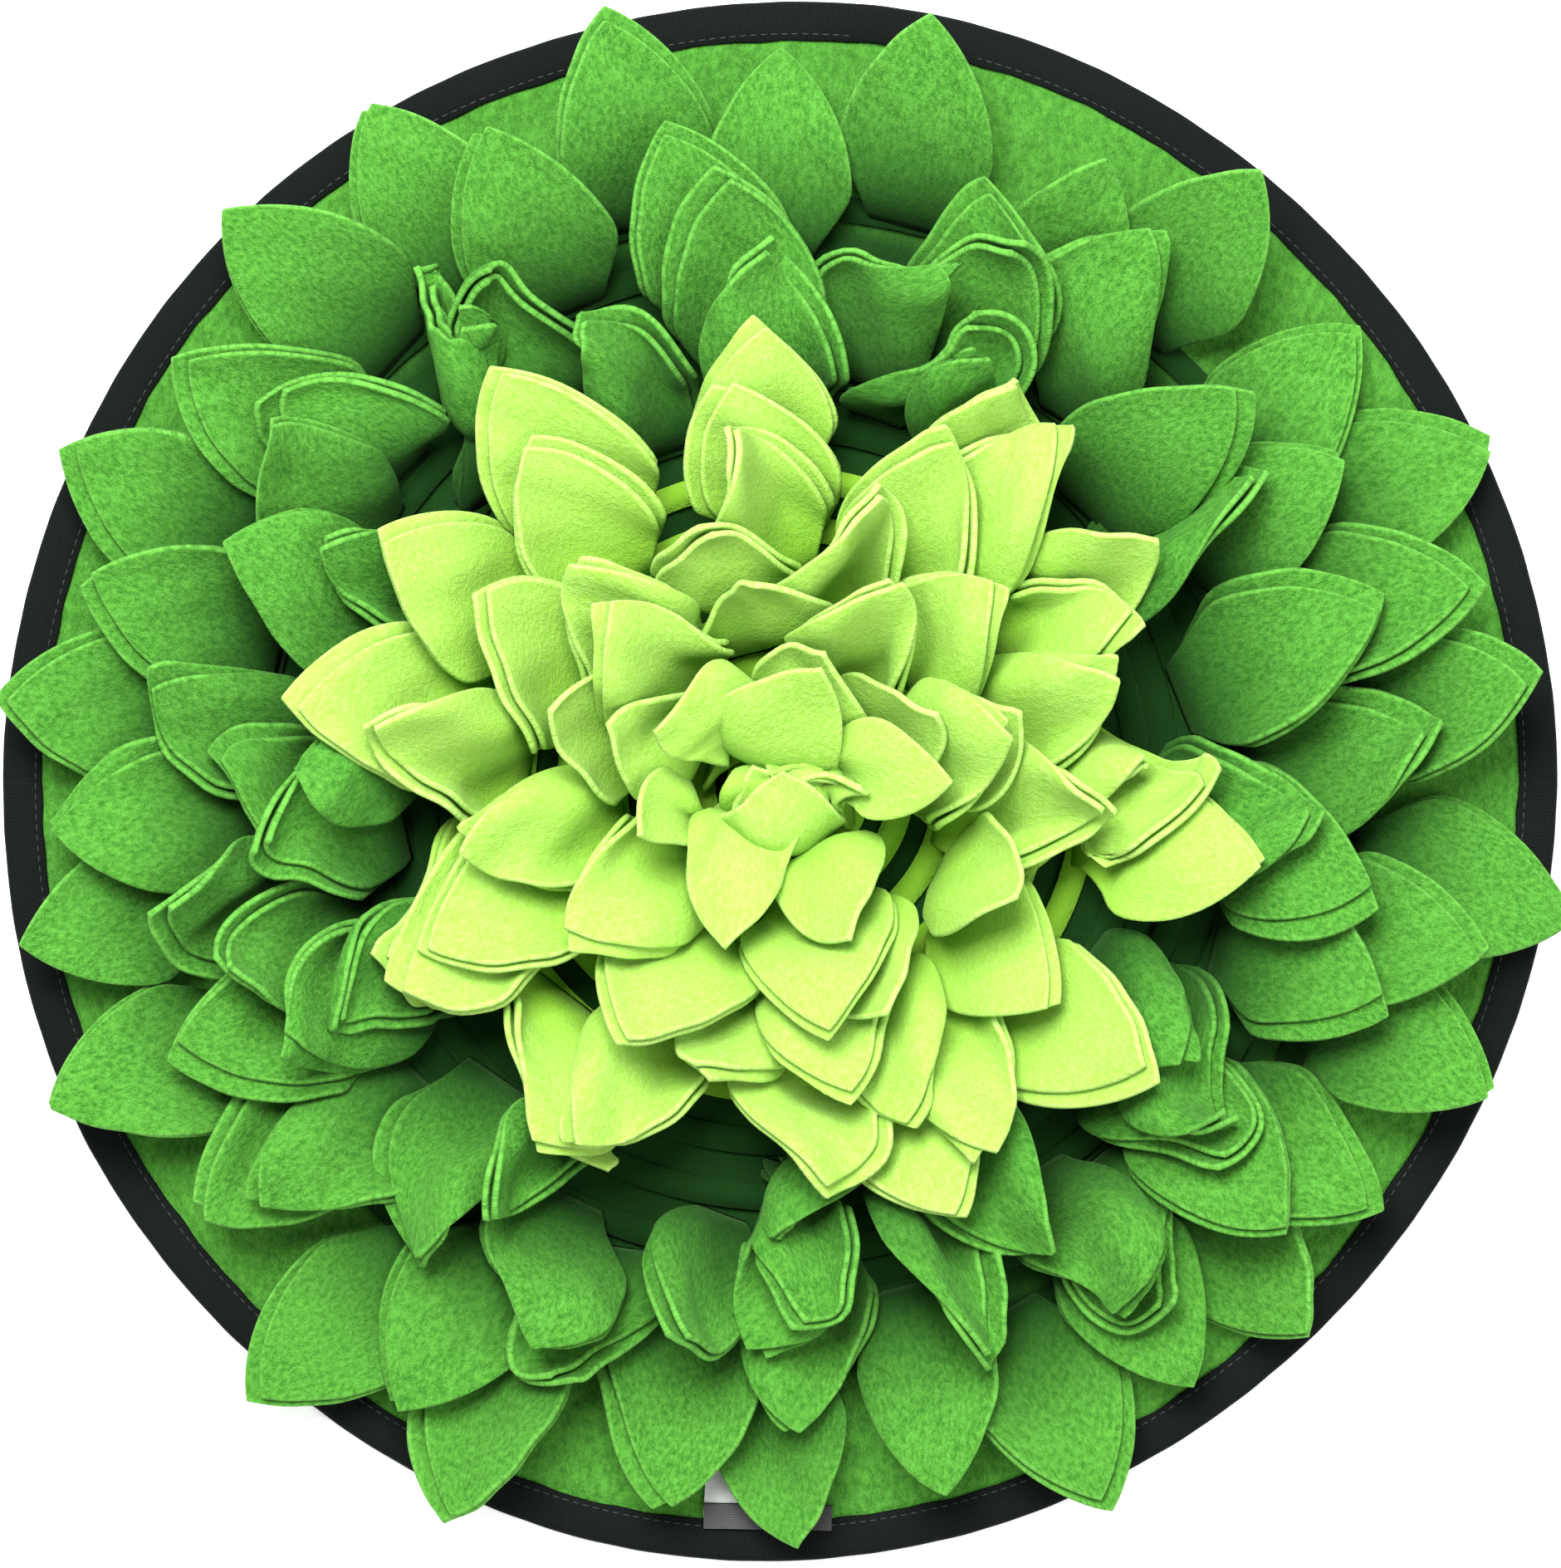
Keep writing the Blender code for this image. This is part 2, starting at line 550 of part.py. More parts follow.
def spread_along(sheets, shape, axis, share):
    """Share each point's shift from a shape with the points beside it."""
    shift = sheets - shape
    low, middle, high = part_of(axis, 0, -2), part_of(axis, 1, -1), part_of(axis, 2, None)
    change = 0.5 * (shift[low] + shift[high]) - shift[middle]
    sheets[middle] += share * change
    sheets[low] -= 0.5 * share * change
    sheets[high] -= 0.5 * share * change


def averaged(shift):
    """Shifts evened out over the points of each sheet."""
    for axis in (1, 2):
        count = shift.shape[axis]
        before = np.take(shift, np.maximum(np.arange(count) - 1, 0), axis)
        after = np.take(shift, np.minimum(np.arange(count) + 1, count - 1), axis)
        shift = 0.25 * before + 0.5 * shift + 0.25 * after
    return shift


Sheet = namedtuple("Sheet", "ring place pair heading")


def start_sheets(rings):
    """The sheets of all pairs before they are pressed, with what cut shape they hold."""
    sheets, points, widths, inside = [], [], [], []
    for ring, (row, pairs) in enumerate(zip(ROWS, rings)):
        for place, (pair, angle) in enumerate(zip(pairs, root_angles(row, pairs))):
            run = np.repeat(SHEET_RUNS[:, None], ACROSS, axis=1)
            side = SHEET_SIDES[None] * opened_half(row, run) * SHEET_SPARE
            points.append(sheet_points(row, pair, angle, side, run))
            widths.append(opened_half(row, run) * SHEET_SPARE * 2 / (ACROSS - 1))
            share = arch_share(petal_length(pair, pair.layers - 1), run)
            inside.append(np.abs(SHEET_SIDES)[None] * SHEET_SPARE <= share + CUT_MARGIN)
            heading, _ = lean_at(row.root_radius, angle)
            sheets.append(Sheet(ring, place, pair, heading))
    return sheets, np.array(points), np.array(widths)[..., None], np.array(inside)


def press_apart(rings):
    """Every pair's sheet, as a grid of points that is clear of the others."""
    sheets, points, widths, inside = start_sheets(rings)
    layers = np.array([sheet.pair.layers for sheet in sheets])
    ring_of = [sheet.ring for sheet in sheets]
    lengths = np.full_like(widths, SHEET_RUNS[1])
    shape, roots, bends = points.copy(), points[:, 0].copy(), points[:, 1].copy()
    floor = BASE_THICK + 2 * GAP + PETAL_THICK / 2 + 0.0003
    floors = (floor + PAIR_STEP * (layers - 1))[:, None, None]
    known = {}
    for turn in range(ROUNDS):
        if turn % LOOK_AGAIN == 0:
            normals = outward_normals(points)
            over = []
            for a, b in watched(points, inside).tolist():
                if (a, b) not in known:
                    known[a, b] = lies_over(points, normals, inside, ring_of, a, b)
                over.append((a, b) if known[a, b] else (b, a))
            over = np.array(over)
            room = CLEARANCE + PAIR_STEP * (layers[over[:, 0]] - 1)
        points += PUSH * pushes(points, outward_normals(points), inside, over, room)
        points[:, 2:, :, 2] -= SINK * 2 / ROUNDS * max(0.0, 1.0 - 2.0 * turn / ROUNDS)
        for _ in range(2):
            hold_lengths(points, 1, lengths)
            hold_lengths(points, 2, widths)
        for axis in (1, 2):
            spread_along(points, shape, axis, SPREAD)
        for axis in (1, 2):
            spread_along(points, np.zeros_like(shape), axis, IRON)
        shape += EASE * averaged(averaged(averaged(points - shape)))
        on_rim = np.hypot(points[..., 0], points[..., 1]) > RIM_RADIUS
        low = floors + np.where(on_rim, TAPE_TOP + LAP_RISE - BASE_THICK, 0.0)
        points[:, 1:, :, 2] = np.maximum(points[:, 1:, :, 2], low[:, 1:])
        points[:, 0] = roots
        points[:, 1] = (1.0 - FIRM_ROOT) * points[:, 1] + FIRM_ROOT * bends
    return sheets, points


def curve_weights(places, count):
    """Weights of a smooth curve's points at places from 0 to 1 along it."""
    at = np.clip(places, 0.0, 1.0) * (count - 1)
    first = np.minimum(at.astype(int), count - 2)
    t = at - first
    weights = np.zeros((len(at), count + 2))
    for k, share in enumerate((-0.5 * t ** 3 + t ** 2 - 0.5 * t, 1.5 * t ** 3 - 2.5 * t ** 2 + 1.0,
                               -1.5 * t ** 3 + 2.0 * t ** 2 + 0.5 * t, 0.5 * t ** 3 - 0.5 * t ** 2)):
        weights[np.arange(len(at)), first + k] += share
    kept = weights[:, 1:-1].copy()
    kept[:, 0] += 2 * weights[:, 0]
    kept[:, 1] -= weights[:, 0]
    kept[:, -1] += 2 * weights[:, -1]
    kept[:, -2] -= weights[:, -1]
    return kept


def on_sheet(grid, across, run):
    """Smooth points of a pressed sheet at shares across it and runs up it."""
    up = curve_weights(run / SHEET_LENGTH, LEVELS)
    aside = curve_weights((across + 1.0) / 2.0, ACROSS)
    return np.einsum("nr,rcd,nc->nd", up, grid, aside)


# ---------------------------------------------------------------- petals
def petal_level(row, sheet, grid, layer, thick, run, count):
    """Upper and under points across a petal at one run above its root."""
    length = petal_length(sheet.pair, layer)
    side = 1.0 if sheet.pair.turn_deg > 0 else -1.0
    aside = layer * side * UNDER_ASIDE * run / length / opened_half(row, run)
    share = np.linspace(-1.0, 1.0, count) * arch_share(petal_length(sheet.pair, 0), run)
    edge = arch_share(length, run)
    share[0] = aside - edge
    share[-1] = aside + edge
    across = share / SHEET_SPARE
    runs = np.full(count, run)
    here = on_sheet(grid, across, runs)
    if run == 0.0:
        normal = np.tile((math.cos(sheet.heading), math.sin(sheet.heading), 0.0), (count, 1))
    else:
        wide = on_sheet(grid, across + 0.02, runs) - on_sheet(grid, across - 0.02, runs)
        long = on_sheet(grid, across, runs + 0.0007) - on_sheet(grid, across, runs - 0.0007)
        normal = np.cross(wide, long)
        normal /= np.linalg.norm(normal, axis=-1, keepdims=True)
    middle = here + normal * layer * PAIR_STEP
    return list(zip(middle - normal * thick / 2, middle + normal * thick / 2))


def petal_grid(sheet, grid, layer, thick):
    """Rows of (upper, under) points of one petal, from its root to its tip."""
    row = ROWS[sheet.ring]
    levels = [petal_level(row, sheet, grid, layer, thick, 0.0, 2)]
    levels += [petal_level(row, sheet, grid, layer, thick, run, COLUMNS + 1) for run in BEND_RUNS]
    levels.append(petal_level(row, sheet, grid, layer, thick, petal_length(sheet.pair, layer), 1))
    return levels


def add_petal(shape, grid):
    """Add one petal's faces but for its foot; returns its corners at the root."""
    grid = [[(shape.verts.new(up), shape.verts.new(under)) for up, under in level] for level in grid]
    root, first, last, tip = grid[0], grid[1], grid[-2], grid[-1][0]
    columns = len(first) - 1
    middle = (columns + 1) // 2
    for face in (0, 1):
        for k in range(columns):
            corner = root[0] if k < middle else root[1]
            shape.faces.new((corner[face], first[k][face], first[k + 1][face]))
            shape.faces.new((last[k][face], last[k + 1][face], tip[face]))
        shape.faces.new((root[0][face], first[middle][face], root[1][face]))
        for lower, upper in zip(grid[1:-2], grid[2:-1]):
            for k in range(columns):
                shape.faces.new((lower[k][face], lower[k + 1][face], upper[k + 1][face]))
                shape.faces.new((lower[k][face], upper[k + 1][face], upper[k][face]))
    for end in (0, -1):
        edge = [level[end] for level in grid]
        for a, b in zip(edge, edge[1:]):
            shape.faces.new((a[0], a[1], b[1], b[0]))
    return root


def turn_of(corner):
    return math.atan2(corner.co.y, corner.co.x)


def bare_station(shape, row, angle):
    """Corners of the strip where no petal stands."""
    outward = Vector((math.cos(angle), math.sin(angle), 0.0))
    offsets = (-PETAL_THICK / 2, PETAL_THICK / 2, PAIR_STEP - PETAL_THICK / 2, PAIR_STEP + PETAL_THICK / 2)
    spots = [outward * (row.root_radius + offset) for offset in offsets]
    upper = [shape.verts.new((spot.x, spot.y, ROOT_Z)) for spot in spots]
    feet = [shape.verts.new((spot.x, spot.y, STRIP_FOOT)) for spot in (spots[3], spots[0])]
    return upper + feet, 0


def round_the_ring(shape, row, stations):
    """The stations with bare ones added, so that the strip follows its circle."""
    filled = []
    for k, (corners, layers) in enumerate(stations):
        filled.append((corners, layers))
        if k % 2 == 0:
            continue
        start = turn_of(corners[0])
        span = (turn_of(stations[(k + 1) % len(stations)][0][0]) - start) % math.tau
        bare = int(span / STRIP_TURN)
        filled += [bare_station(shape, row, start + span * (n + 1) / (bare + 1)) for n in range(bare)]
    return filled


def add_petal_row(mat, row, petals):
    """A ring of petals that share one narrow strip at their roots."""
    shape = bmesh.new()
    stations = []
    for sheet, grid, layers in petals:
        roots = [add_petal(shape, petal_grid(sheet, grid, layer, PETAL_THICK)) for layer in layers]
        outward = Vector((math.cos(sheet.heading), math.sin(sheet.heading), 0.0)) * PAIR_STEP
        for end in (0, 1):
            upper = [roots[0][end][0], roots[0][end][1]]
            if len(layers) == 2:
                upper += [roots[1][end][0], roots[1][end][1]]
            else:
                upper += [shape.verts.new(v.co + outward) for v in upper[:2]]
            feet = [shape.verts.new((v.co.x, v.co.y, STRIP_FOOT)) for v in (upper[3], upper[0])]
            stations.append((upper + feet, len(layers) if end == 0 else 0))
    stations = round_the_ring(shape, row, stations)
    for k, (here, layers) in enumerate(stations):
        there = stations[(k + 1) % len(stations)][0]
        for a in range(6):
            if (a == 0 and layers) or (a == 2 and layers == 2):
                continue
            b = (a + 1) % 6
            shape.faces.new((here[a], here[b], there[b], there[a]))
    return add_object(row.name, shape, mat)


def clashes(petals):
    """Which petals run into each other, as (number, layer) keys, and how much."""
    points, faces, owners = [], [], []
    for number, (sheet, grid, layers) in enumerate(petals):
        for layer in layers:
            shape = bmesh.new()
            add_petal(shape, petal_grid(sheet, grid, layer, PETAL_THICK + GAP))
            bmesh.ops.triangulate(shape, faces=shape.faces)
            shape.verts.index_update()
            first = len(points)
            points += [v.co.copy() for v in shape.verts]
            faces += [tuple(first + v.index for v in f.verts) for f in shape.faces]
            owners += [(number, layer)] * len(shape.faces)
            shape.free()
    tree = BVHTree.FromPolygons(points, faces, all_triangles=True)
    return Counter((owners[a], owners[b]) for a, b in tree.overlap(tree)
                   if owners[a] < owners[b] or (owners[a] == owners[b] and not set(faces[a]) & set(faces[b])))


def leave_out(petals):
    """Leave out the fewest petals that still run into others."""
    met = clashes(petals)
    print("petals that clash:", len(met))
    left_out = set()
    while met:
        share = Counter()
        for (a, b), amount in met.items():
            share[a] += 1 + 0.001 * amount + 0.5 * a[1]
            share[b] += 1 + 0.001 * amount + 0.5 * b[1]
        worst = max(sorted(share), key=lambda key: share[key])
        left_out.add(worst)
        met = Counter({two: n for two, n in met.items() if worst not in two})
    print("petals left out:", len(left_out))
    kept = []
    for number, (sheet, grid, layers) in enumerate(petals):
        layers = tuple(layer for layer in layers if (number, layer) not in left_out)
        if layers:
            kept.append((sheet, grid, layers))
    return kept


def add_all_petals(green, lime):
    sheets, points = press_apart(layout())
    petals = [(sheet, grid, tuple(range(sheet.pair.layers))) for sheet, grid in zip(sheets, points)]
    petals = leave_out(petals)
    for ring, row in enumerate(ROWS):
        mine = [petal for petal in petals if petal[0].ring == ring]
        mine.sort(key=lambda petal: math.atan2(petal[1][0, ACROSS // 2, 1], petal[1][0, ACROSS // 2, 0]))
        add_petal_row(green if row.name.startswith("green") else lime, row, mine)


def main():
    clear_scene()
    green = material("green_fleece", GREEN, 0.95)
    lime = material("lime_fleece", LIME, 0.95)
    swept_ring(base_profile, material("base_fleece", GREEN_BASE, 0.95), "base", False)
    black = material("black_ribbed_tape", BLACK, 0.75)
    swept_ring(binding_profile, black, "binding", True)
    woven_edge = rim_radius(math.radians(WOVEN_DEG)) - TAPE_WIDTH + WOVEN_PROUD
    tab("woven_label", black, WOVEN_DEG, woven_edge, TAPE_TOP + GAP,
        WOVEN_WIDTH, WOVEN_LENGTH, WOVEN_THICK)
    care_edge = rim_radius(math.radians(CARE_DEG)) - TAPE_WIDTH - CARE_ROOM
    tab("care_label", material("pale_satin", SATIN, 0.5), CARE_DEG, care_edge,
        BASE_THICK + GAP, CARE_WIDTH, CARE_LENGTH, CARE_THICK)
    add_all_petals(green, lime)


main()
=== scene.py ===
# %% [markdown]
# # A round snuffle mat
# A snuffle mat is a disc of fleece covered with fleece petals.  Dry food is dropped
# between the petals and a dog sniffs it out.  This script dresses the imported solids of
# the mat: every piece of cloth is made again with more bends, a nap, cut edges and
# seams, in the place that its solid holds.

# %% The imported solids
import math
import random
from collections import namedtuple

import bmesh
import bpy
import numpy as np
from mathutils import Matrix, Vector


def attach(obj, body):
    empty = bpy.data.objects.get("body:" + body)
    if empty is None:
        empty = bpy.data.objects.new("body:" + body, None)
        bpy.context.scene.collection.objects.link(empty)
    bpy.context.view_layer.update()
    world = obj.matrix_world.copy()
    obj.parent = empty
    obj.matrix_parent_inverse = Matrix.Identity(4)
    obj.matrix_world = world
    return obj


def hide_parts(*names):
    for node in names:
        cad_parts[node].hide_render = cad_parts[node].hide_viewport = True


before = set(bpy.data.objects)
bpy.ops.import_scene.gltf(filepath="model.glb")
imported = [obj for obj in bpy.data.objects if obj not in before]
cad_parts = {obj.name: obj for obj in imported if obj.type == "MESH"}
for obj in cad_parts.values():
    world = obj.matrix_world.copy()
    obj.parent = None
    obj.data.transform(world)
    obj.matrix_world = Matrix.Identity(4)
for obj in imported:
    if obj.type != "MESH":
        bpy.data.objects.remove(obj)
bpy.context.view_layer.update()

print("solids:", sorted(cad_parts))

# %% [markdown]
# ## Sizes
# The real mat is cut from polar fleece about 2 mm thick under its nap, and bound with a
# 25 mm ribbed tape folded over the edge.  The same named sizes as in the part's source
# are written here, in metres, so that each piece lands where its solid is.

# %% Sizes of the mat
MM = 0.001
GAP = 0.0003                    # air between pieces that lie on each other
MAT_RADIUS = 0.2253
BASE_THICK = 0.0032
PINCH_THICK = 0.0014            # the fleece squeezed inside the folded tape
TAPE_THICK = 0.0010
TAPE_WIDTH = 0.0115             # what shows of the tape from above
TAPE_TOP = 2 * TAPE_THICK + 2 * GAP + PINCH_THICK
PINCH_RUN = 0.0040
LAP_DEG = 79.5                  # where the tape's end laps over its start
LAP_RISE = 0.0008
LAP_SPREAD_DEG = 8.0

Swell = namedtuple("Swell", "middle_deg half_width_deg rise_mm")
SWELLS = (
    Swell(78, 34, 2.2),
    Swell(130, 34, 1.5),
    Swell(205, 24, 0.9),
    Swell(255, 26, 0.4),
    Swell(312, 58, -3.2),
)


def smooth(x):
    """An S-shaped rise from 0 to 1."""
    x = np.clip(x, 0.0, 1.0)
    return x * x * (3.0 - 2.0 * x)


def rim_radius(angle):
    """Outside radius of the mat: a circle with the swells of a hand-bound edge."""
    degrees = np.degrees(angle)
    radius = MAT_RADIUS + 0.0 * degrees
    for swell in SWELLS:
        away = np.abs((degrees - swell.middle_deg + 180.0) % 360.0 - 180.0)
        radius = radius + swell.rise_mm * MM * smooth(1.0 - away / swell.half_width_deg)
    return radius


print("mat across, mm:", round(2000 * MAT_RADIUS, 1))

# %% [markdown]
# ## A tool for closed shells
# Petals, tape, disc and tabs are all one thing to a modeller: a loop of points that is
# repeated along a path.  One helper joins such loops into a closed mesh, so that every
# piece has a real thickness and no holes.  Numbers may be stored on the points, for the
# materials to read.


# %% Joining loops of points
def loop_faces(loops, points_a_loop, first=0, ring=False):
    """Quads between loops of points that follow each other in one list."""
    faces = []
    for j in range(loops if ring else loops - 1):
        here = first + j * points_a_loop
        there = first + ((j + 1) % loops) * points_a_loop
        for k in range(points_a_loop):
            n = (k + 1) % points_a_loop
            faces.append((here + k, here + n, there + n, there + k))
    return faces


def make_piece(name, points, faces, material, masks=None, cloth=None):
    """A smooth-shaded object whose place is in its mesh, with numbers on its points."""
    mesh = bpy.data.meshes.new(name)
    mesh.from_pydata(np.asarray(points).tolist(), [], faces)
    work = bmesh.new()
    work.from_mesh(mesh)
    bmesh.ops.recalc_face_normals(work, faces=work.faces)
    work.to_mesh(mesh)
    work.free()
    for title, values in (masks or {}).items():
        layer = mesh.attributes.new(title, "FLOAT", "POINT")
        layer.data.foreach_set("value", np.asarray(values, dtype=np.float32).ravel())
    if cloth is not None:
        layer = mesh.attributes.new("cloth", "FLOAT_VECTOR", "POINT")
        layer.data.foreach_set("vector", np.asarray(cloth, dtype=np.float32).ravel())
    mesh.shade_smooth()
    mesh.materials.append(material)
    piece = bpy.data.objects.new(name, mesh)
    bpy.context.scene.collection.objects.link(piece)
    return piece


def turned(steps, outline):
    """Points of an outline of radius and height, carried round the mat like a pot."""
    return [(radius * math.cos(angle), radius * math.sin(angle), z)
            for angle in (math.tau * step / steps for step in range(steps))
            for radius, z in outline(angle)]


def dress(piece, node=None):
    """Let a piece ride with the mat, in its material, in place of the solid it dresses."""
    if node:
        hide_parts(node)
    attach(piece, "root")
    print(piece.name, sum(len(face.vertices) - 2 for face in piece.data.polygons), "triangles")


# %% [markdown]
# ## Fleece
# Polar fleece is a knit whose loops are brushed up and sheared into a short, dense nap.
# From a hand's width away it reads as a soft surface with small clumps a millimetre
# across, drawn out along the cloth, and with a bloom of light at grazing angles.  Its
# colour also has a painted highlight where it is cut and painted shade deep among the
# petals.  The clumps are noise in a shader node group that all fleeces share.
# It reads a point's place in its own flat cut, so the nap turns with each petal.


# %% Small helpers for node trees
def node_group(title, inputs, outputs, kind="ShaderNodeTree"):
    """An empty node group with named sockets, and its two ends."""
    group = bpy.data.node_groups.new(title, kind)
    for name, holds, value in inputs:
        socket = group.interface.new_socket(name, in_out="INPUT", socket_type="NodeSocket" + holds)
        if value is not None:
            socket.default_value = value
    for name, holds in outputs:
        group.interface.new_socket(name, in_out="OUTPUT", socket_type="NodeSocket" + holds)
    return group, group.nodes.new("NodeGroupInput"), group.nodes.new("NodeGroupOutput")


def add_node(tree, kind, settings=None, values=None):
    """A node with its settings; a value is a plain one, or a socket to link."""
    node = tree.nodes.new(kind)
    for key, value in (settings or {}).items():
        setattr(node, key, value)
    for key, value in (values or {}).items():
        if isinstance(value, bpy.types.NodeSocket):
            tree.links.new(value, node.inputs[key])
        else:
            node.inputs[key].default_value = value
    return node


def noise(tree, coords, scale, detail=2.0, rough=0.5):
    """A noise texture read at given coordinates."""
    return add_node(tree, "ShaderNodeTexNoise", {},
                    {"Vector": coords, "Scale": scale, "Detail": detail,
                     "Roughness": rough}).outputs["Fac"]


def remap(tree, value, low, high, to_low=0.0, to_high=1.0):
    """Stretch a range of values to another."""
    return add_node(tree, "ShaderNodeMapRange", {"clamp": True},
                    {"Value": value, "From Min": low, "From Max": high,
                     "To Min": to_low, "To Max": to_high}).outputs["Result"]


def times(tree, first, second, more=0.0):
    """The product of two values, and more added to it."""
    return add_node(tree, "ShaderNodeMath", {"operation": "MULTIPLY_ADD"},
                    {0: first, 1: second, 2: more}).outputs[0]


def mix_colour(tree, factor, first, second):
    """Mix two colours; each is a socket or a plain colour."""
    return add_node(tree, "ShaderNodeMix", {"data_type": "RGBA"},
                    {0: factor, 6: first, 7: second}).outputs[2]


def stored(tree, title, output="Fac"):
    """A number, or three, stored on the points of a mesh."""
    return add_node(tree, "ShaderNodeAttribute", {"attribute_name": title}).outputs[output]


def new_material(name, values):
    """A material and its node tree, with some values of its shader set."""
    made = bpy.data.materials.new(name)
    made.use_nodes = True
    for title, value in values.items():
        made.node_tree.nodes["Principled BSDF"].inputs[title].default_value = value
    return made, made.node_tree


def finish_shader(tree, colour, normal):
    shader = tree.nodes["Principled BSDF"]
    tree.links.new(colour, shader.inputs["Base Color"])
    tree.links.new(normal, shader.inputs["Normal"])


def place_group(tree, group, values):
    """Put a shared effect in a material, with the material's own values."""
    effect = add_node(tree, "ShaderNodeGroup", {"node_tree": group}, values)
    finish_shader(tree, effect.outputs["Colour"], effect.outputs["Normal"])


def bump(tree, height, distance, strength):
    """The normal of a surface with a fine relief."""
    return add_node(tree, "ShaderNodeBump", {},
                    {"Height": height, "Distance": distance,
                     "Strength": strength}).outputs["Normal"]


def own_place(tree):
    return add_node(tree, "ShaderNodeTexCoord").outputs["Object"]


# %% A node group for the nap
NAP_DRAWN = (1.0, 0.6, 1.0)     # clumps are longer up a petal than across it
COLOUR_AND_NORMAL = (("Colour", "Color"), ("Normal", "Vector"))


def fleece_group():
    """Colour and normal of a napped cloth, from clumps of three sizes, with painted highlight and
    shade.
    """
    group, enter, leave = node_group(
        "fleece_nap",
        (("Colour", "Color", (0.5, 0.5, 0.5, 1.0)), ("Edge highlight colour", "Color", (0.8, 0.8, 0.8, 1.0)),
         ("Painted shade colour", "Color", (0.1, 0.1, 0.1, 1.0)), ("Edge highlight", "Float", 0.0),
         ("Deep", "Float", 0.0), ("Clump size", "Float", 0.0012), ("Contrast", "Float", 0.2),
         ("Nap depth", "Float", 0.0003)), COLOUR_AND_NORMAL)
    given = enter.outputs
    drawn = add_node(group, "ShaderNodeVectorMath", {"operation": "MULTIPLY"},
                     {0: stored(group, "cloth", "Vector"), 1: NAP_DRAWN})
    size = add_node(group, "ShaderNodeCombineXYZ", {}, dict.fromkeys("XYZ", given["Clump size"]))
    place = add_node(group, "ShaderNodeVectorMath", {"operation": "DIVIDE"},
                     {0: drawn.outputs[0], 1: size.outputs[0]}).outputs[0]
    clumps = noise(group, place, 0.7, 3.0, 0.62)
    fibres = noise(group, place, 2.8, 2.0, 0.6)
    patches = noise(group, place, 0.06)

    height = times(group, fibres, 0.4, clumps)
    pale = mix_colour(group, 0.5, given["Colour"], given["Edge highlight colour"])
    dark = mix_colour(group, 0.5, given["Colour"], given["Painted shade colour"])
    mottled = mix_colour(group, remap(group, height, 0.50, 0.90), dark, pale)
    colour = mix_colour(group, given["Contrast"], given["Colour"], mottled)
    worn = mix_colour(group, remap(group, patches, 0.3, 0.7, 0.0, 0.18), colour, pale)
    # painted highlight along the cut edge, broken up by the clumps
    broken_edge_highlight = times(group, given["Edge highlight"], remap(group, clumps, 0.35, 0.62, 0.35, 1.0))
    edge_highlighted = mix_colour(group, broken_edge_highlight, worn, given["Edge highlight colour"])
    # painted shade, low among the petals and under them
    painted_shaded = mix_colour(group, given["Deep"], edge_highlighted, given["Painted shade colour"])
    group.links.new(painted_shaded, leave.inputs["Colour"])
    group.links.new(bump(group, height, given["Nap depth"], 1.0), leave.inputs["Normal"])
    return group


FLEECE_NAP = fleece_group()

# %% The three fleeces
Fleece = namedtuple("Fleece", "name colour cut deep contrast nap_depth sheen sheen_tint clump")
# Each fleece's third colour is its painted highlight at cut edges, the fourth its painted shade.
FLEECES = (
    Fleece("green_fleece", (0.041, 0.212, 0.014, 1), (0.125, 0.380, 0.055, 1),
           (0.003, 0.030, 0.002, 1), 1.00, 0.00055, 0.12, (0.30, 0.80, 0.20, 1), 0.0009),
    Fleece("lime_fleece", (0.282, 0.520, 0.066, 1), (0.430, 0.640, 0.170, 1),
           (0.200, 0.440, 0.026, 1), 0.85, 0.00050, 0.10, (0.80, 1.00, 0.45, 1), 0.0009),
    Fleece("base_fleece", (0.050, 0.215, 0.019, 1), (0.085, 0.290, 0.036, 1),
           (0.004, 0.032, 0.003, 1), 1.00, 0.00080, 0.10, (0.30, 0.80, 0.20, 1), 0.0013),
)


def fleece(kind):
    """A fleece material with its own colours around the shared nap."""
    made, tree = new_material(kind.name, {
        "Roughness": 0.92, "Specular IOR Level": 0.15, "Sheen Weight": kind.sheen,
        "Sheen Roughness": 0.45, "Sheen Tint": kind.sheen_tint})
    place_group(tree, FLEECE_NAP, {
        "Colour": kind.colour, "Edge highlight colour": kind.cut, "Painted shade colour": kind.deep,
        "Contrast": kind.contrast, "Nap depth": kind.nap_depth, "Clump size": kind.clump,
        "Edge highlight": stored(tree, "painted_edge_highlight"), "Deep": stored(tree, "deep")})
    return made


GREEN_FLEECE, LIME_FLEECE, BASE_FLEECE = (fleece(kind) for kind in FLEECES)
print("fleeces:", GREEN_FLEECE.name, LIME_FLEECE.name, BASE_FLEECE.name)

# %% [markdown]
# ## How a petal leans
# The petals are sewn down in rings.  Each one stands up from its seam and then flops
# outward, the more so the further out it is sewn, like water in a fountain.  A real mat
# is never that tidy: petals lean with their neighbours, some clusters more and some
# less.  A few slow waves over the mat, called drifts here, make those clusters.

# %% Sizes of a petal and of its lean
PETAL_WIDTH = 0.048
PETAL_LENGTH = 0.067
PETAL_THICK = 0.0018
ARCH_RADIUS = 1.2 * PETAL_WIDTH
ARCH_SINK = ARCH_RADIUS - PETAL_WIDTH / 2
ARCH_HEIGHT = math.sqrt(ARCH_RADIUS ** 2 - ARCH_SINK ** 2)
PAIR_STEP = 0.0030              # from the upper petal of a pair to the one under it
UNDER_LONGER = 0.0040           # how much of the under petal shows below the upper
STRIP_HEIGHT = 0.0016
STRIP_FOOT = BASE_THICK + GAP
ROOT_Z = STRIP_FOOT + STRIP_HEIGHT
SHEET_LENGTH = 0.080

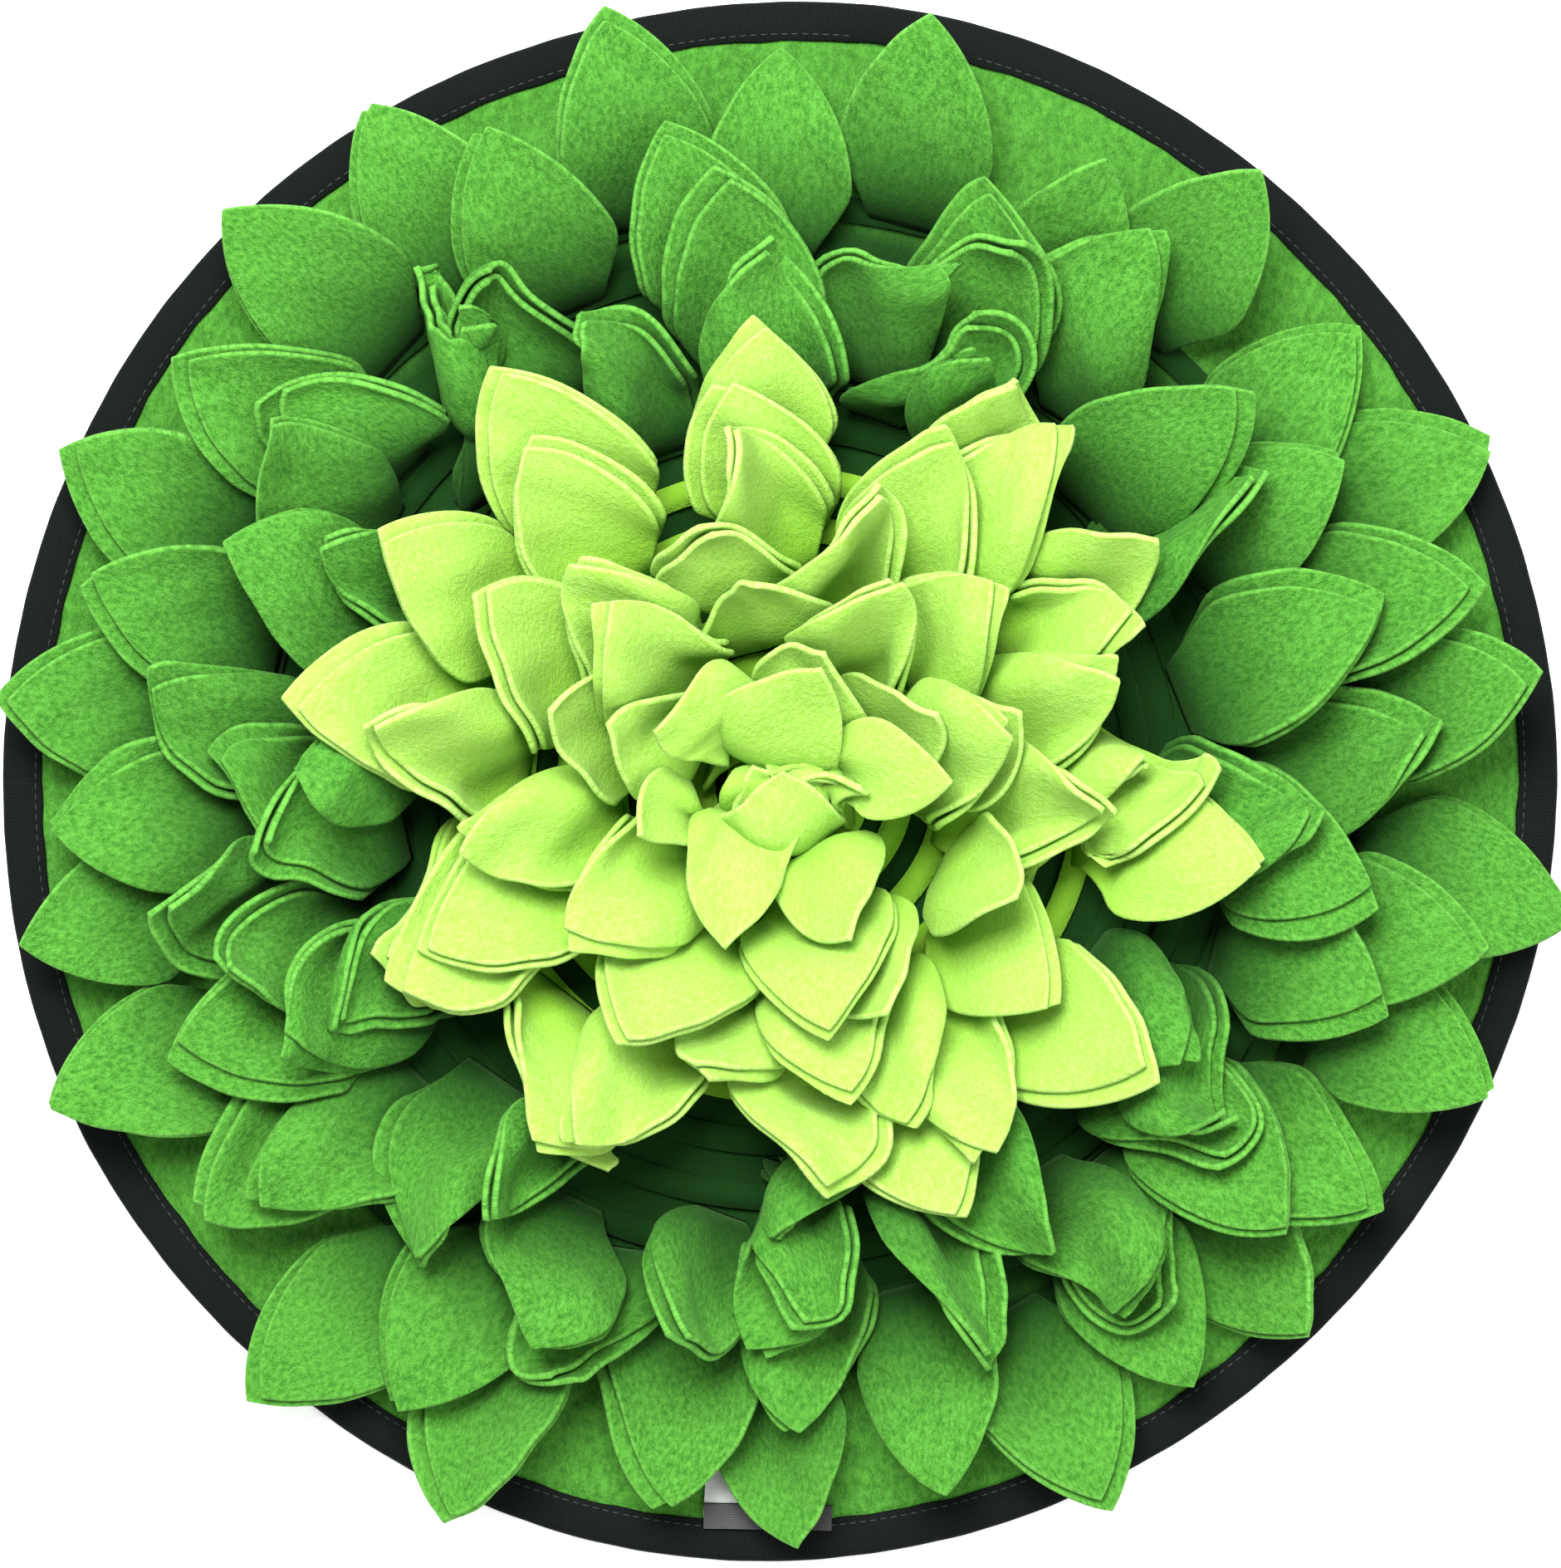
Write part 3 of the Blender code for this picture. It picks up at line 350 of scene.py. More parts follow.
OUTER_ROOT = 0.160
MOST_PART = 1.1                 # of the outer petals' lean
BEND_MIDDLE_DEG, BEND_OUTER_DEG, BEND_CURVE = 14.0, 60.0, 0.9
FLOP_MIDDLE_DEG, FLOP_OUTER_DEG, FLOP_CURVE = 50.0, 30.0, 1.6
UPRIGHT_MIDDLE, UPRIGHT_OUTER = 0.018, 0.009
MOST_LEAN_DEG = 97.0
RISE_STEP = 0.0005
LEAST_PULL, MOST_PULL = 0.40, 1.55
CROOKED = 0.20                  # radians that petals lean aside, in drifts
UNEVEN = 0.22                   # how much more or less they lean, in drifts
CALM_FROM, CALM_OVER = 0.130, 0.040     # outer petals lean aside half as much

Drift = namedtuple("Drift", "length heading_deg phase weight")
DRIFTS = (
    Drift(0.100, 20, 0.4, 0.50),
    Drift(0.073, 95, 2.1, 0.50),
    Drift(0.057, 150, 4.0, 0.40),
    Drift(0.044, 55, 1.2, 0.35),
)
ASIDE, MORE = 0, 1              # the two drifts in use
DRIFT_TURN_DEG, DRIFT_SHIFT = 70, 2.3


# %% Drifts, and the rise of a petal's middle line
def drift(x, y, kind):
    """Height of the slow waves over the mat, a different set for each kind."""
    total = 0.0
    for wave in DRIFTS:
        heading = math.radians(wave.heading_deg + DRIFT_TURN_DEG * kind)
        along = x * math.cos(heading) + y * math.sin(heading)
        phase = math.tau * along / wave.length + wave.phase + DRIFT_SHIFT * kind
        total += wave.weight * math.sin(phase)
    return total


def lean_at(root_radius, angle):
    """The way a petal leans from a root, and how much more than usual it does."""
    x, y = root_radius * math.cos(angle), root_radius * math.sin(angle)
    calm = 1.0 - 0.5 * float(smooth((root_radius - CALM_FROM) / CALM_OVER))
    aside = CROOKED * calm * drift(x, y, ASIDE)
    pull = 1.0 + UNEVEN * drift(x, y, MORE)
    return angle + aside, min(max(pull, LEAST_PULL), MOST_PULL)


def rise(root_radius, pull):
    """Reach, height and lean of a petal's middle line, step by step from its root."""
    part = min(root_radius / OUTER_ROOT, MOST_PART)
    bend = math.radians(BEND_MIDDLE_DEG + (BEND_OUTER_DEG - BEND_MIDDLE_DEG) * part ** BEND_CURVE)
    flop = math.radians(FLOP_MIDDLE_DEG + (FLOP_OUTER_DEG - FLOP_MIDDLE_DEG) * part)
    upright = UPRIGHT_MIDDLE + (UPRIGHT_OUTER - UPRIGHT_MIDDLE) * part
    steps = np.arange(0.0, SHEET_LENGTH, RISE_STEP) + RISE_STEP / 2
    lean = pull * (bend * smooth(steps / upright) + flop * (steps / PETAL_LENGTH) ** FLOP_CURVE)
    lean = np.minimum(lean, math.radians(MOST_LEAN_DEG))
    reach = np.cumsum(np.sin(lean)) * RISE_STEP
    height = ROOT_Z + np.cumsum(np.cos(lean)) * RISE_STEP
    return steps + RISE_STEP / 2, reach, height, lean


tip_step = round(PETAL_LENGTH / RISE_STEP) - 1
print("tip of an outer petal, mm out and up:",
      [round(1000 * float(way[tip_step]), 1) for way in rise(OUTER_ROOT, 1.0)[1:3]])

# %% [markdown]
# ## Where the petals are sewn
# The rings that show best have a table each, one line to a pair.  In the crowded rings
# between them a seeded random draw gives each pair its turn, curl and length.  A pair is
# two petals stacked a few millimetres apart.

# %% Rings and pairs
Row = namedtuple("Row", "name root_radius root_width open_run pairs first_deg wild stand",
                 defaults=(1.0,))
ROWS = (
    Row("green_petals_1", 0.1660, 0.0200, 0.030, 18, 0, 0.0),
    Row("green_petals_2", 0.1500, 0.0200, 0.030, 15, 0, 0.0),
    Row("green_petals_3", 0.1340, 0.0200, 0.030, 15, 6, 1.0),
    Row("green_petals_4", 0.1180, 0.0200, 0.030, 13, 17, 1.1),
    Row("green_petals_5", 0.1020, 0.0200, 0.030, 12, 28, 1.1),
    Row("lime_petals_1", 0.0870, 0.0200, 0.030, 13, 0, 0.0),
    Row("lime_petals_2", 0.0730, 0.0190, 0.030, 10, 20, 0.9),
    Row("lime_petals_3", 0.0595, 0.0190, 0.030, 8, 12, 0.9),
    Row("lime_petals_4", 0.0465, 0.0180, 0.030, 7, 34, 0.9),
    Row("lime_petals_5", 0.0335, 0.0170, 0.030, 5, 3, 0.8),
    Row("lime_petals_6", 0.0210, 0.0140, 0.032, 4, 75, 0.3),
    Row("lime_petals_7", 0.0065, 0.0090, 0.034, 2, 75, 0.1),
)
AIMED_RADIUS = 0.055            # rings outside this have their tips aimed
SINGLE_RADIUS = 0.022           # rings inside this have single petals, evenly spaced
ROOT_ROOM = 0.0030              # between the roots of one ring's neighbours
ROOT_SHIFTS = 40

Pair = namedtuple("Pair", "tip_deg extra_mm sway_mm turn_deg cup_mm wave_mm curl_mm layers",
                  defaults=(0, 0, 2))
TABLES = {
    "green_petals_1": (
        Pair(25, -3, -6, 10, 3), Pair(52, 1, -2, -8, 3, layers=1),
        Pair(79, 0, 8, -10, 2, layers=1), Pair(103, 0, 2, -12, 3),
        Pair(121, 0, 2, 12, 4), Pair(134, 4, 4, 12, 2), Pair(154, -3, -6, 14, 6),
        Pair(174, -3, 6, -16, 5), Pair(-168, -4, 4, 12, 3, layers=1),
        Pair(-156, 3, -6, -14, 3), Pair(-130, 4, -8, -12, 2), Pair(-114, 5, 4, -16, 8, 4),
        Pair(-88, -7, 6, -14, 5, 5, layers=1), Pair(-66, -1, -6, 14, 3),
        Pair(-46, -6, 4, -12, 3), Pair(-24, -4, -8, 16, 4), Pair(-10, 2, -6, 14, 3),
        Pair(8, -6, 6, 14, 3)),
    "green_petals_2": (
        Pair(-14, -2, 0, 22, 6), Pair(16, -2, 0, 20, 8), Pair(38, -2, 8, 14, 4),
        Pair(63, -6, 4, -16, 6, 6, layers=1), Pair(90, 0, -4, -14, 6, layers=1),
        Pair(114, -2, 2, 10, 4), Pair(144, 0, 2, 12, 3), Pair(163, -2, -6, 14, 8),
        Pair(-176, 0, 2, -14, 6, 5), Pair(-143, -2, 6, -16, 4), Pair(-121, 0, 6, -12, 9),
        Pair(-99, 0, 4, -16, 10), Pair(-77, 0, -6, -12, 4, -6, layers=1),
        Pair(-56, -3, -8, 16, 4), Pair(-35, -2, 4, 14, 5)),
    "lime_petals_1": (
        Pair(-10, 0, -4, 14, 4), Pair(8, -2, 0, 22, 4), Pair(34, -6, 4, -20, 12, 8, layers=1),
        Pair(62, -4, 10, -30, 8, 6, 3), Pair(92, -8, -4, 10, 4, 5), Pair(124, 5, 4, 14, 6),
        Pair(149, 0, -6, -18, 3), Pair(171, 6, 4, -16, 4), Pair(-168, 4, -4, 16, 4),
        Pair(-136, 0, -6, 40, 10, 7), Pair(-104, 4, 6, -12, 3, layers=1),
        Pair(-68, -4, 0, 30, 8, 5), Pair(-38, 2, 6, -16, 4)),
}

# %% The drawn rings
LAYOUT_SEED = 11
TIP_STRAY = 0.22                # share of the step from pair to pair
EXTRA_MM = (-8, 4)
SWAY_MM = 14
TURN_DEG, TURN_DRIFT_DEG = 34, 14
CUP_MM = (-2, 14)
WAVES_MM = (0, 0, 8, -8, 12, -12)
CURL_MM = 6
CURLIER = 1.3                   # cloth shows more curl than its solid


def layout():
    """Each ring's pairs of petals: from its table, or strayed from a plain petal."""
    rng = random.Random(LAYOUT_SEED)
    rings = []
    for row in ROWS:
        if row.name in TABLES:
            rings.append(list(TABLES[row.name]))
            continue
        pairs = []
        layers = 2 if row.root_radius > SINGLE_RADIUS else 1
        for k in range(row.pairs):
            strayed = rng.uniform(-TIP_STRAY, TIP_STRAY) if layers == 2 else 0.0
            tip = row.first_deg + 360.0 * (k + strayed) / row.pairs
            shingle = TURN_DRIFT_DEG * math.sin(math.radians(2.0 * tip + 40.0))
            turn = row.wild * (shingle + rng.uniform(-TURN_DEG, TURN_DEG))
            wave = CURLIER * row.wild * rng.choice(WAVES_MM)
            extra, sway = rng.uniform(*EXTRA_MM), row.wild * rng.uniform(-SWAY_MM, SWAY_MM)
            cup = CURLIER * row.wild * rng.uniform(*CUP_MM)
            curl = row.wild * rng.uniform(-CURL_MM, CURL_MM)
            pairs.append(Pair(tip, extra, sway, turn, cup, wave, curl, layers))
        rings.append(pairs)
    return rings


# %% [markdown]
# Between the rings, wherever the leaning petals leave a gap, the mat has a few more that
# stand up on edge and ruffle.  They are fine forms of the cloth and have no solid.

# %% Ruffles in the gaps
RUFFLE_STAND = 0.45             # how far they lean, as a share of their neighbours
RUFFLE_WIDTH, RUFFLE_OPEN = 0.016, 0.034
Ruffle = namedtuple("Ruffle", "root_radius tip_deg extra_mm turn_deg cup_mm wave_mm layers",
                    defaults=(2,))
RUFFLES = {
    "green_ruffles": (
        Ruffle(0.142, 139, -5, 10, 5, 6), Ruffle(0.126, 118, -4, -8, 6, 4),
        Ruffle(0.142, -169, -5, 16, 4, -8), Ruffle(0.126, -162, -5, -10, 6, 9),
        Ruffle(0.110, -171, -3, 20, 3, -9), Ruffle(0.110, 74, -2, -12, 6, 9),
        Ruffle(0.126, 65, -5, -14, 7, 5), Ruffle(0.110, -91, -3, -16, 6, -9),
        Ruffle(0.142, -107, -6, 18, 6, 8), Ruffle(0.126, -100, -5, -8, 5, -9),
        Ruffle(0.142, -50, -6, 14, 5, 8), Ruffle(0.126, -43, -4, -18, 7, -8)),
    "lime_ruffles": (
        Ruffle(0.0525, 98, -6, 14, 5, 7), Ruffle(0.0400, 106, -6, -12, 6, -6, 1),
        Ruffle(0.0525, -26, -6, -14, 6, -6, 1), Ruffle(0.0400, 18, -6, 12, 6, 6, 1),
        Ruffle(0.0400, -62, -6, 12, 6, 6, 1), Ruffle(0.0400, 168, -6, -12, 6, -6, 1),
        Ruffle(0.0135, 0, -10, 0, 8, 5, 1), Ruffle(0.0135, 120, -8, 0, 9, -5, 1),
        Ruffle(0.0135, 240, -12, 0, 8, 5, 1), Ruffle(0.0270, 25, -9, 10, 6, 6, 1),
        Ruffle(0.0270, 205, -9, -10, 7, -6, 1), Ruffle(0.0270, 295, -9, 10, 6, 6, 1),
        Ruffle(0.0270, 70, -9, -10, 6, -6, 1), Ruffle(0.0270, 160, -9, 10, 6, 6, 1)),
}
RINGS, LAYOUT = list(ROWS), layout()
for name, ruffles in RUFFLES.items():
    for root_radius, tip, extra, turn, cup, wave, layers in ruffles:
        RINGS.append(Row(name, root_radius, RUFFLE_WIDTH, RUFFLE_OPEN, 1, 0, 1.0, RUFFLE_STAND))
        LAYOUT.append([Pair(tip, extra, 0, turn, cup, wave, 0, layers)])
print("petals:", sum(pair.layers for pairs in LAYOUT for pair in pairs))

# %% [markdown]
# ## The shape of a petal
# A petal is cut with parallel sides that meet in a pointed arch.  Its foot is gathered
# in the seam and it opens to its full width a few centimetres up.  Its width may be
# cupped, waved and turned to shingle over its neighbour.


# %% From a flat cut to a place on the mat
GROWN_RUN = 0.45 * PETAL_LENGTH  # where a petal has its full curl
CUP_LEVEL = 0.3                 # squared share of the half width that a cup leaves in place
DRAWN_IN, LEAST_WIDE = 0.28, 0.35       # curled cloth is narrower, but no more than this
SWAY_CURVE = 1.5
AIM_ROUNDS, AIM_STEP = 6, 0.6


def opened_half(row, run):
    """Half the width that a petal has opened to at a run above its gathered root."""
    gathered = row.root_width / 2
    return gathered + (PETAL_WIDTH / 2 - gathered) * smooth(run / row.open_run)


def arch_share(length, run):
    """Share of its opened width that a petal keeps under its pointed arch."""
    above = np.clip(run - (length - ARCH_HEIGHT), 0.0, ARCH_HEIGHT)
    return np.maximum(np.sqrt(ARCH_RADIUS ** 2 - above ** 2) - ARCH_SINK, 0.0) / (PETAL_WIDTH / 2)


def petal_length(pair, layer):
    return PETAL_LENGTH + pair.extra_mm * MM + UNDER_LONGER * layer


def sheet_points(row, pair, angle, side, run):
    """Points of a pair's sheet before it is pressed, by distance aside and up it."""
    heading, pull = lean_at(row.root_radius, angle)
    steps, reach, height, lean = rise(row.root_radius, pull * row.stand)
    reach = np.interp(run, np.append(0.0, steps), np.append(0.0, reach))
    height = np.interp(run, np.append(0.0, steps), np.append(ROOT_Z, height))
    lean = np.interp(run, steps, lean)
    grown = smooth(run / GROWN_RUN)
    turn = math.radians(pair.turn_deg) * grown
    across = side / (PETAL_WIDTH / 2)
    bow = pair.cup_mm * (across ** 2 - CUP_LEVEL) + pair.wave_mm * np.sin(math.pi * across)
    bow = bow * MM * grown + pair.curl_mm * MM * (run / PETAL_LENGTH) ** 2
    steep = np.abs(2 * pair.cup_mm * across)
    steep = steep + np.abs(math.pi * pair.wave_mm * np.cos(math.pi * across))
    wide = 1.0 - DRAWN_IN * grown * steep * MM / (PETAL_WIDTH / 2)
    wide = side * np.sqrt(np.maximum(wide, LEAST_WIDE))
    out = wide * np.sin(turn) - bow * np.cos(turn)
    around = wide * np.cos(turn) + bow * np.sin(turn)
    around = around + pair.sway_mm * MM * (run / PETAL_LENGTH) ** SWAY_CURVE
    along = reach + out * np.cos(lean)
    x = row.root_radius * math.cos(angle) + along * math.cos(heading) - around * math.sin(heading)
    y = row.root_radius * math.sin(angle) + along * math.sin(heading) + around * math.cos(heading)
    return np.stack((x, y, height - out * np.sin(lean)), axis=-1)


def root_angles(row, pairs):
    """Where the roots of a ring stand so that their tips lie where they should."""
    angles = []
    for pair in pairs:
        aim = math.radians(pair.tip_deg)
        angle = aim
        for _ in range(AIM_ROUNDS if row.root_radius > AIMED_RADIUS else 0):
            tip = sheet_points(row, pair, angle, np.zeros(1), np.full(1, PETAL_LENGTH))[0]
            off = aim - math.atan2(tip[1], tip[0])
            angle += AIM_STEP * ((off + math.pi) % math.tau - math.pi)
        angles.append(angle)
    room = (row.root_width + ROOT_ROOM) / row.root_radius
    order = sorted(range(len(pairs)), key=lambda k: angles[k] % math.tau)
    for _ in range(ROOT_SHIFTS):
        for place, here in enumerate(order):
            there = order[(place + 1) % len(order)]
            short = room - (angles[there] - angles[here]) % math.tau
            if short > 0.0:
                angles[here] -= short / 2
                angles[there] += short / 2
    return angles


print("first roots of the outer ring, degrees:",
      [round(math.degrees(a)) for a in root_angles(ROWS[0], LAYOUT[0])[:4]])

# %% [markdown]
# ## Pressing the petals apart
# Real petals push each other aside.  Each pair is one thin sheet, held as a small grid
# of points.  Round after round, points that are too close to a neighbouring sheet are
# moved along that sheet's normal, the cloth's lengths are put right again, and each push
# is shared with the points beside it.  The sheets sag a little while this goes on, so
# they end up resting on each other.

# %% Numbers for pressing
LEVELS, ACROSS = 10, 7          # points up and across a sheet
SHEET_SPARE = 1.16              # the sheet's width, as a share of the petal's
SHEET_RUNS = np.linspace(0.0, SHEET_LENGTH, LEVELS)
SHEET_SIDES = np.linspace(-1.0, 1.0, ACROSS)
CUT_MARGIN = 0.15               # how far outside the cut shape a point still counts
ROUNDS = 60
LOOK_AGAIN = 8                  # rounds from one search for neighbours to the next
CLEARANCE = 0.0035              # from middle to middle of two petals that touch
NEAR = 0.0125                   # sheets closer than this are watched
REACH = 0.0085                  # how far aside a point still pushes
CROSSED_REACH = 0.0015          # the same at an edge that stands on another's face
CROSSED_SHARE = 0.45            # of their normals that two such sheets share at most
OPPOSED_SHARE = -0.2            # the same for sheets that lean away from each other
DEEPEST = 0.022                 # a point further through than this isn't pushed back
OUTSIDE = 1.0                   # stands for a distance that doesn't count
TOUCH = 0.008                   # how close points are when they say which sheet is over
PUSH = 1.5
SHARED_PUSH = 0.7               # power of the number of sheets that push one point
SINK = 0.0040                   # how far the cloth sags in all
STIFF = 0.4                     # how fast the cloth takes its lengths back
SPREAD = 0.25                   # how much of a push the next points share
EASE = 0.03                     # how fast the cloth takes its new shape
IRON = 0.04                     # how fast sharp bends flatten
FIRM_ROOT = 0.40                # how firmly the first bend holds its place
RIM_RADIUS = 0.212              # outside it petals lie on the tape
LIFT_OFF = 0.0003


# %% Which sheets are near each other, and which is over which
def outward_normals(sheets):
    """Normals on the under side of every sheet."""
    normals = np.cross(np.gradient(sheets, axis=2), np.gradient(sheets, axis=1))
    return normals / np.maximum(np.linalg.norm(normals, axis=-1, keepdims=True), 1e-9)


def watched(sheets, inside):
    """Which sheets are near each other, as two columns of their numbers."""
    low, high = sheets.min(axis=(1, 2)) - NEAR / 2, sheets.max(axis=(1, 2)) + NEAR / 2
    boxes_meet = np.all((low[:, None] <= high[None]) & (high[:, None] >= low[None]), axis=-1)
    twos = np.argwhere(np.triu(boxes_meet, 1))
    return twos[point_distances(sheets, inside, twos).min(axis=(1, 2)) < NEAR ** 2]


def point_distances(sheets, inside, twos):
    """Squared distances from each point of one sheet to each of the other."""
    points, kept = sheets.reshape(len(sheets), -1, 3), inside.reshape(len(sheets), -1)
    squares = (points ** 2).sum(axis=-1)
    a, b = twos[:, 0], twos[:, 1]
    apart = squares[a][:, :, None] + squares[b][:, None, :]
    apart = apart - 2.0 * np.matmul(points[a], points[b].transpose(0, 2, 1))
    return np.where(kept[a][:, :, None] & kept[b][:, None, :], apart, OUTSIDE)


def lies_over(sheets, normals, inside, radii, a, b):
    """Whether sheet a lies on the inner, upper side of sheet b."""
    middle = (LEVELS // 2, ACROSS // 2)
    if radii[a] != radii[b] and normals[a][middle] @ normals[b][middle] > OPPOSED_SHARE:
        return radii[a] < radii[b]
    points, others = sheets[a][inside[a]], sheets[b][inside[b]]
    apart = ((points[:, None] - others[None]) ** 2).sum(axis=-1)
    nearest = apart.argmin(axis=1)
    heights = ((points - others[nearest]) * normals[b][inside[b]][nearest]).sum(axis=-1)
    return (heights * np.exp(-apart.min(axis=1) / TOUCH ** 2)).sum() <= 0.0


# %% One push
def pushes(sheets, normals, inside, over, room):
    """How far each point moves to clear the sheets over and under its own."""
    count, points = len(sheets), LEVELS * ACROSS
    flat, normal = sheets.reshape(count, points, 3), normals.reshape(count, points, 3)
    inner = inside.copy()
    inner[:, :, 1:-1] &= inside[:, :, :-2] & inside[:, :, 2:]
    inner[:, :-1] &= inside[:, 1:]
    inner[:, :, 0] = inner[:, :, -1] = inner[:, -1] = False
    inner = inner.reshape(count, points)
    middle = normals[:, LEVELS // 2, ACROSS // 2]
    crossed = np.abs((middle[over[:, 0]] * middle[over[:, 1]]).sum(axis=-1)) < CROSSED_SHARE
    apart = point_distances(sheets, inside, over)
    moved, met = np.zeros((count * points, 3)), np.zeros(count * points)
    for axis, sign in ((2, -1.0), (1, 1.0)):
        mine, other = (over[:, 0], over[:, 1]) if axis == 2 else (over[:, 1], over[:, 0])
        nearest = apart.argmin(axis=axis)
        square = apart.min(axis=axis)
        rows = np.arange(len(over))[:, None]
        way = normal[other][rows, nearest] * sign
        gap = ((flat[mine] - flat[other][rows, nearest]) * way).sum(axis=-1)
        aside = np.sqrt(np.maximum(square - gap ** 2, 0.0))
        far = np.where(crossed[:, None] & ~inner[other][rows, nearest], CROSSED_REACH, REACH)
        hit = (aside < far) & (gap < room[:, None]) & (gap > -DEEPEST) & (square < OUTSIDE / 2)
        amount = (room[:, None] - gap) * 0.5 * (1.0 - 0.5 * (aside / REACH) ** 2)
        step = (way * np.where(hit, amount, 0.0)[..., None]).reshape(-1, 3)
        me = (mine[:, None] * points + np.arange(points)[None]).ravel()
        you = (other[:, None] * points + nearest).ravel()
        for k in range(3):
            moved[:, k] += np.bincount(me, step[:, k], count * points)
            moved[:, k] -= np.bincount(you, step[:, k], count * points)
        met += (np.bincount(me, hit.ravel(), count * points)
                + np.bincount(you, hit.ravel(), count * points))
    return (moved / np.maximum(met, 1.0)[:, None] ** SHARED_PUSH).reshape(sheets.shape)


# %% Cloth keeps its lengths and bends softly
def part_of(axis, start, stop, step=1):
    """An index that takes a range along one axis of all the sheets."""
    return tuple(slice(start, stop, step) if k == axis else slice(None) for k in range(4))


def hold_lengths(sheets, axis, lengths):
    """Bring the spaces between points along an axis back to their true lengths."""
    count = sheets.shape[axis]
    for first in (0, 1):
        low, high = part_of(axis, first, count - 1, 2), part_of(axis, first + 1, count, 2)
        across = sheets[high] - sheets[low]
        now = np.linalg.norm(across, axis=-1, keepdims=True)
        change = across * (STIFF * (now - lengths[low]) / np.maximum(now, 1e-6))
        sheets[low] += change
        sheets[high] -= change


def spread_along(sheets, shape, axis, share):
    """Share each point's shift from a shape with the points beside it."""
    shift = sheets - shape
    low, middle, high = part_of(axis, 0, -2), part_of(axis, 1, -1), part_of(axis, 2, None)
    change = 0.5 * (shift[low] + shift[high]) - shift[middle]
    sheets[middle] += share * change
    sheets[low] -= 0.5 * share * change
    sheets[high] -= 0.5 * share * change


def averaged(shift):
    """Shifts evened out over the points of each sheet."""
    for axis in (1, 2):
        count = shift.shape[axis]
        before = np.take(shift, np.maximum(np.arange(count) - 1, 0), axis)
        after = np.take(shift, np.minimum(np.arange(count) + 1, count - 1), axis)
        shift = 0.25 * before + 0.5 * shift + 0.25 * after
    return shift


# %% Round after round
Sheet = namedtuple("Sheet", "row pair")


def start_sheets(rings):
    """The sheets of all pairs before they are pressed, with what cut shape they hold."""
    sheets, points, widths, inside = [], [], [], []
    run = np.repeat(SHEET_RUNS[:, None], ACROSS, axis=1)
    for row, pairs in zip(RINGS, rings):
        half = opened_half(row, run)
        side = SHEET_SIDES[None] * half * SHEET_SPARE
        for pair, angle in zip(pairs, root_angles(row, pairs)):
            points.append(sheet_points(row, pair, angle, side, run))
            widths.append(half * SHEET_SPARE * 2 / (ACROSS - 1))
            share = arch_share(petal_length(pair, pair.layers - 1), run)
            inside.append(np.abs(SHEET_SIDES)[None] * SHEET_SPARE <= share + CUT_MARGIN)
            sheets.append(Sheet(row, pair))
    return sheets, np.array(points), np.array(widths)[..., None], np.array(inside)


def press_apart(rings):
    """Every pair's sheet, as a grid of points that is clear of the others."""
    sheets, points, widths, inside = start_sheets(rings)
    layers = np.array([sheet.pair.layers for sheet in sheets])
    radii = [sheet.row.root_radius for sheet in sheets]
    lengths = np.full_like(widths, SHEET_RUNS[1])
    shape, roots, bends = points.copy(), points[:, 0].copy(), points[:, 1].copy()
    floor = BASE_THICK + 2 * GAP + PETAL_THICK / 2 + LIFT_OFF
    floors = (floor + PAIR_STEP * (layers - 1))[:, None, None]
    known = {}
    for turn in range(ROUNDS):
        if turn % LOOK_AGAIN == 0:
            normals = outward_normals(points)
            over = []
            for a, b in watched(points, inside).tolist():
                if (a, b) not in known:
                    known[a, b] = lies_over(points, normals, inside, radii, a, b)
                over.append((a, b) if known[a, b] else (b, a))
            over = np.array(over)
            room = CLEARANCE + PAIR_STEP * (layers[over[:, 0]] - 1)
        points += PUSH * pushes(points, outward_normals(points), inside, over, room)
        points[:, 2:, :, 2] -= SINK * 2 / ROUNDS * max(0.0, 1.0 - 2.0 * turn / ROUNDS)
        for _ in range(2):
            hold_lengths(points, 1, lengths)
            hold_lengths(points, 2, widths)
        for axis in (1, 2):
            spread_along(points, shape, axis, SPREAD)
        for axis in (1, 2):
            spread_along(points, np.zeros_like(shape), axis, IRON)
        shape += EASE * averaged(averaged(averaged(points - shape)))
        on_rim = np.hypot(points[..., 0], points[..., 1]) > RIM_RADIUS
        low = floors + np.where(on_rim, TAPE_TOP + LAP_RISE - BASE_THICK, 0.0)
        points[:, 1:, :, 2] = np.maximum(points[:, 1:, :, 2], low[:, 1:])
        points[:, 0] = roots
        points[:, 1] = (1.0 - FIRM_ROOT) * points[:, 1] + FIRM_ROOT * bends
    return sheets, points


SHEETS, SHEET_GRIDS = press_apart(LAYOUT)
print("sheets:", len(SHEETS), "highest, mm:", round(1000 * float(SHEET_GRIDS[..., 2].max()), 1))
